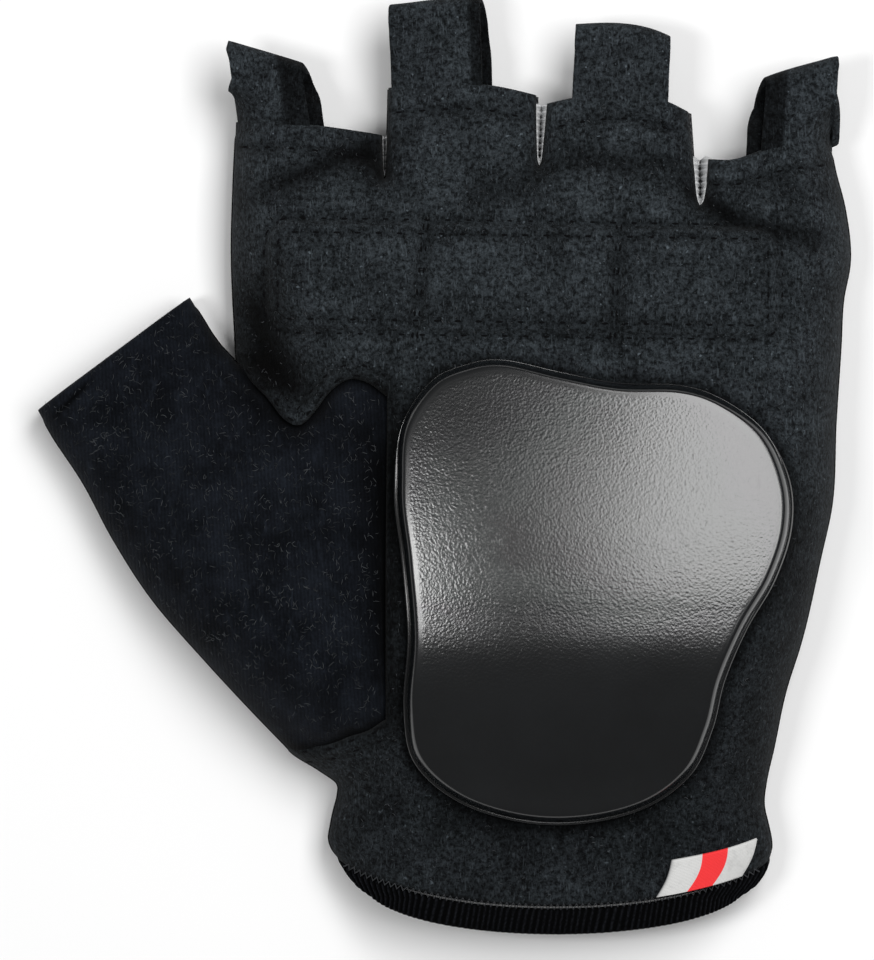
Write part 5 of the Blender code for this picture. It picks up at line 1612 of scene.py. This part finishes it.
class GLOVE_OT_lint(bpy.types.Operator):
    """Loose fibres and lint on the suede and the thumb"""

    bl_idname = "glove.lint"
    bl_label = "Make lint"

    def execute(self, context):
        lint = finish_once("loose_fibre", lint_finish, context.scene.glove_colours.lint)
        count = context.scene.glove_sizes.lint_count
        random = np.random.default_rng(7)
        palm_loop = np.concatenate([
            OUTLINE[0][:EDGE_POINTS], HEEL, BESIDE, WAVE[::-1], OUTLINE[1][EDGE_POINTS:], *HEMS,
            OUTLINE[2][::-1], *[line[::-1] for line in CUFF[::-1]],
        ])
        thumb_loop = np.concatenate([
            OUTLINE[0][EDGE_POINTS:], OUTLINE[1][:EDGE_POINTS], WAVE, BESIDE[::-1], HEEL[::-1],
        ])
        x = random.uniform(-0.68, 0.68, 6 * count) * KNUCKLE_BREADTH
        y = random.uniform(0.04, 0.91, 6 * count) * GLOVE_LENGTH
        free = ~is_inside(x, y, SLIDER_EDGE) & (distance_to([*OUTLINE, *FREE_EDGES], x, y) > 1.2 * MM)
        on_thumb = free & is_inside(x, y, thumb_loop)
        on_palm = free & ~on_thumb & is_inside(x, y, palm_loop)
        palm_x, palm_y = x[on_palm][: count // 2], y[on_palm][: count // 2]
        thumb_x, thumb_y = x[on_thumb][: count // 2], y[on_thumb][: count // 2]
        groups = [
            fibres(random, palm_x, palm_y, dressed_palm, 0.25 * MM, 0.8 * MM, 0.04 * MM),
            fibres(random, thumb_x, thumb_y, dressed_thumb, 0.3 * MM, 1.3 * MM, 0.035 * MM),
        ]
        piece = join_tubes("loose_lint", groups, lint)
        belongs(piece, "suede")
        return {"FINISHED"}


class GLOVE_OT_stage(bpy.types.Operator):
    """The pale floor, the soft lights and the camera straight above"""

    bl_idname = "glove.stage"
    bl_label = "Make stage"

    def execute(self, context):
        scene = context.scene
        pale = finish_once("pale_floor", floor_finish, scene.glove_colours.floor)
        half = np.linspace(-2.5, 2.5, 9)
        across, along = np.meshgrid(half, half)
        grid = np.stack([across, along, np.zeros_like(across)], -1) - DRAWING_ORIGIN
        floor = make_object("floor", [(grid, 1)], pale, weld=0)

        world = bpy.data.worlds.new("studio")
        world.use_nodes = True
        background = world.node_tree.nodes["Background"]
        background.inputs["Color"].default_value = (1.0, 1.0, 1.0, 1.0)
        background.inputs["Strength"].default_value = 0.17
        scene.world = world
        scene.view_settings.view_transform = "Standard"

        def soft_box(name, place, width, height, power, turn=0.0):
            """A level rectangle of light, its middle at a place, turned about the upright."""
            light = bpy.data.lights.new(name, "AREA")
            light.shape = "RECTANGLE"
            light.size = width
            light.size_y = height
            light.energy = power
            lamp = bpy.data.objects.new(name, light)
            lamp.location = place
            lamp.rotation_euler = (0.0, 0.0, np.radians(turn))
            lamp.visible_camera = False
            scene.collection.objects.link(lamp)

        soft_box("right box", (0.37, 0.36, 1.1), 0.50, 0.90, 11.6)
        soft_box("left box", (-0.445, -0.035, 1.1), 0.33, 0.21, 4.0)
        soft_box("middle box", (0.045, 0.07, 1.3), 0.20, 0.40, 1.0, 18.0)

        # The photograph's scale holds at the height of the side seam
        shown = PHOTO_PIXELS_HIGH / PIXELS_TO_A_MM * MM
        camera = bpy.data.cameras.new("camera")
        camera.type = "PERSP"
        camera.sensor_width = 36.0
        camera.lens = camera.sensor_width * (CAMERA_HEIGHT - SEAM_HEIGHT) / shown
        camera.clip_start, camera.clip_end = 0.1, 20.0
        above = bpy.data.objects.new("camera", camera)
        above.location = (-1.2 * MM, -2.5 * MM, CAMERA_HEIGHT)
        scene.collection.objects.link(above)
        scene.camera = above
        return {"FINISHED"}


OPERATORS = (
    GLOVE_OT_palm, GLOVE_OT_back, GLOVE_OT_thumb, GLOVE_OT_webs, GLOVE_OT_loops, GLOVE_OT_slider,
    GLOVE_OT_binding, GLOVE_OT_tag, GLOVE_OT_stitches, GLOVE_OT_side_seam, GLOVE_OT_lint, GLOVE_OT_stage,
)


class GLOVE_PT_sidebar(bpy.types.Panel):
    """Buttons for every piece of the glove, and their sizes and colours"""

    bl_idname = "GLOVE_PT_sidebar"
    bl_label = "Skating glove"
    bl_space_type = "VIEW_3D"
    bl_region_type = "UI"
    bl_category = "Glove"

    def draw(self, context):
        for operator in OPERATORS:
            self.layout.operator(operator.bl_idname)
        for group in (context.scene.glove_sizes, context.scene.glove_colours):
            for key in group.__annotations__:
                self.layout.prop(group, key)


CLASSES = (GloveSizes, GloveColours, *OPERATORS, GLOVE_PT_sidebar)


def register():
    """Adds the classes to Blender, and the sizes and colours to its scenes."""
    for made in CLASSES:
        bpy.utils.register_class(made)
    bpy.types.Scene.glove_sizes = bpy.props.PointerProperty(type=GloveSizes)
    bpy.types.Scene.glove_colours = bpy.props.PointerProperty(type=GloveColours)


def unregister():
    """Takes away what register adds."""
    del bpy.types.Scene.glove_colours
    del bpy.types.Scene.glove_sizes
    for made in reversed(CLASSES):
        bpy.utils.unregister_class(made)


def main():
    """Makes every piece and the stage."""
    register()
    for operator in OPERATORS:
        group, name = operator.bl_idname.split(".")
        getattr(getattr(bpy.ops, group), name)()


if __name__ == "__main__":
    main()
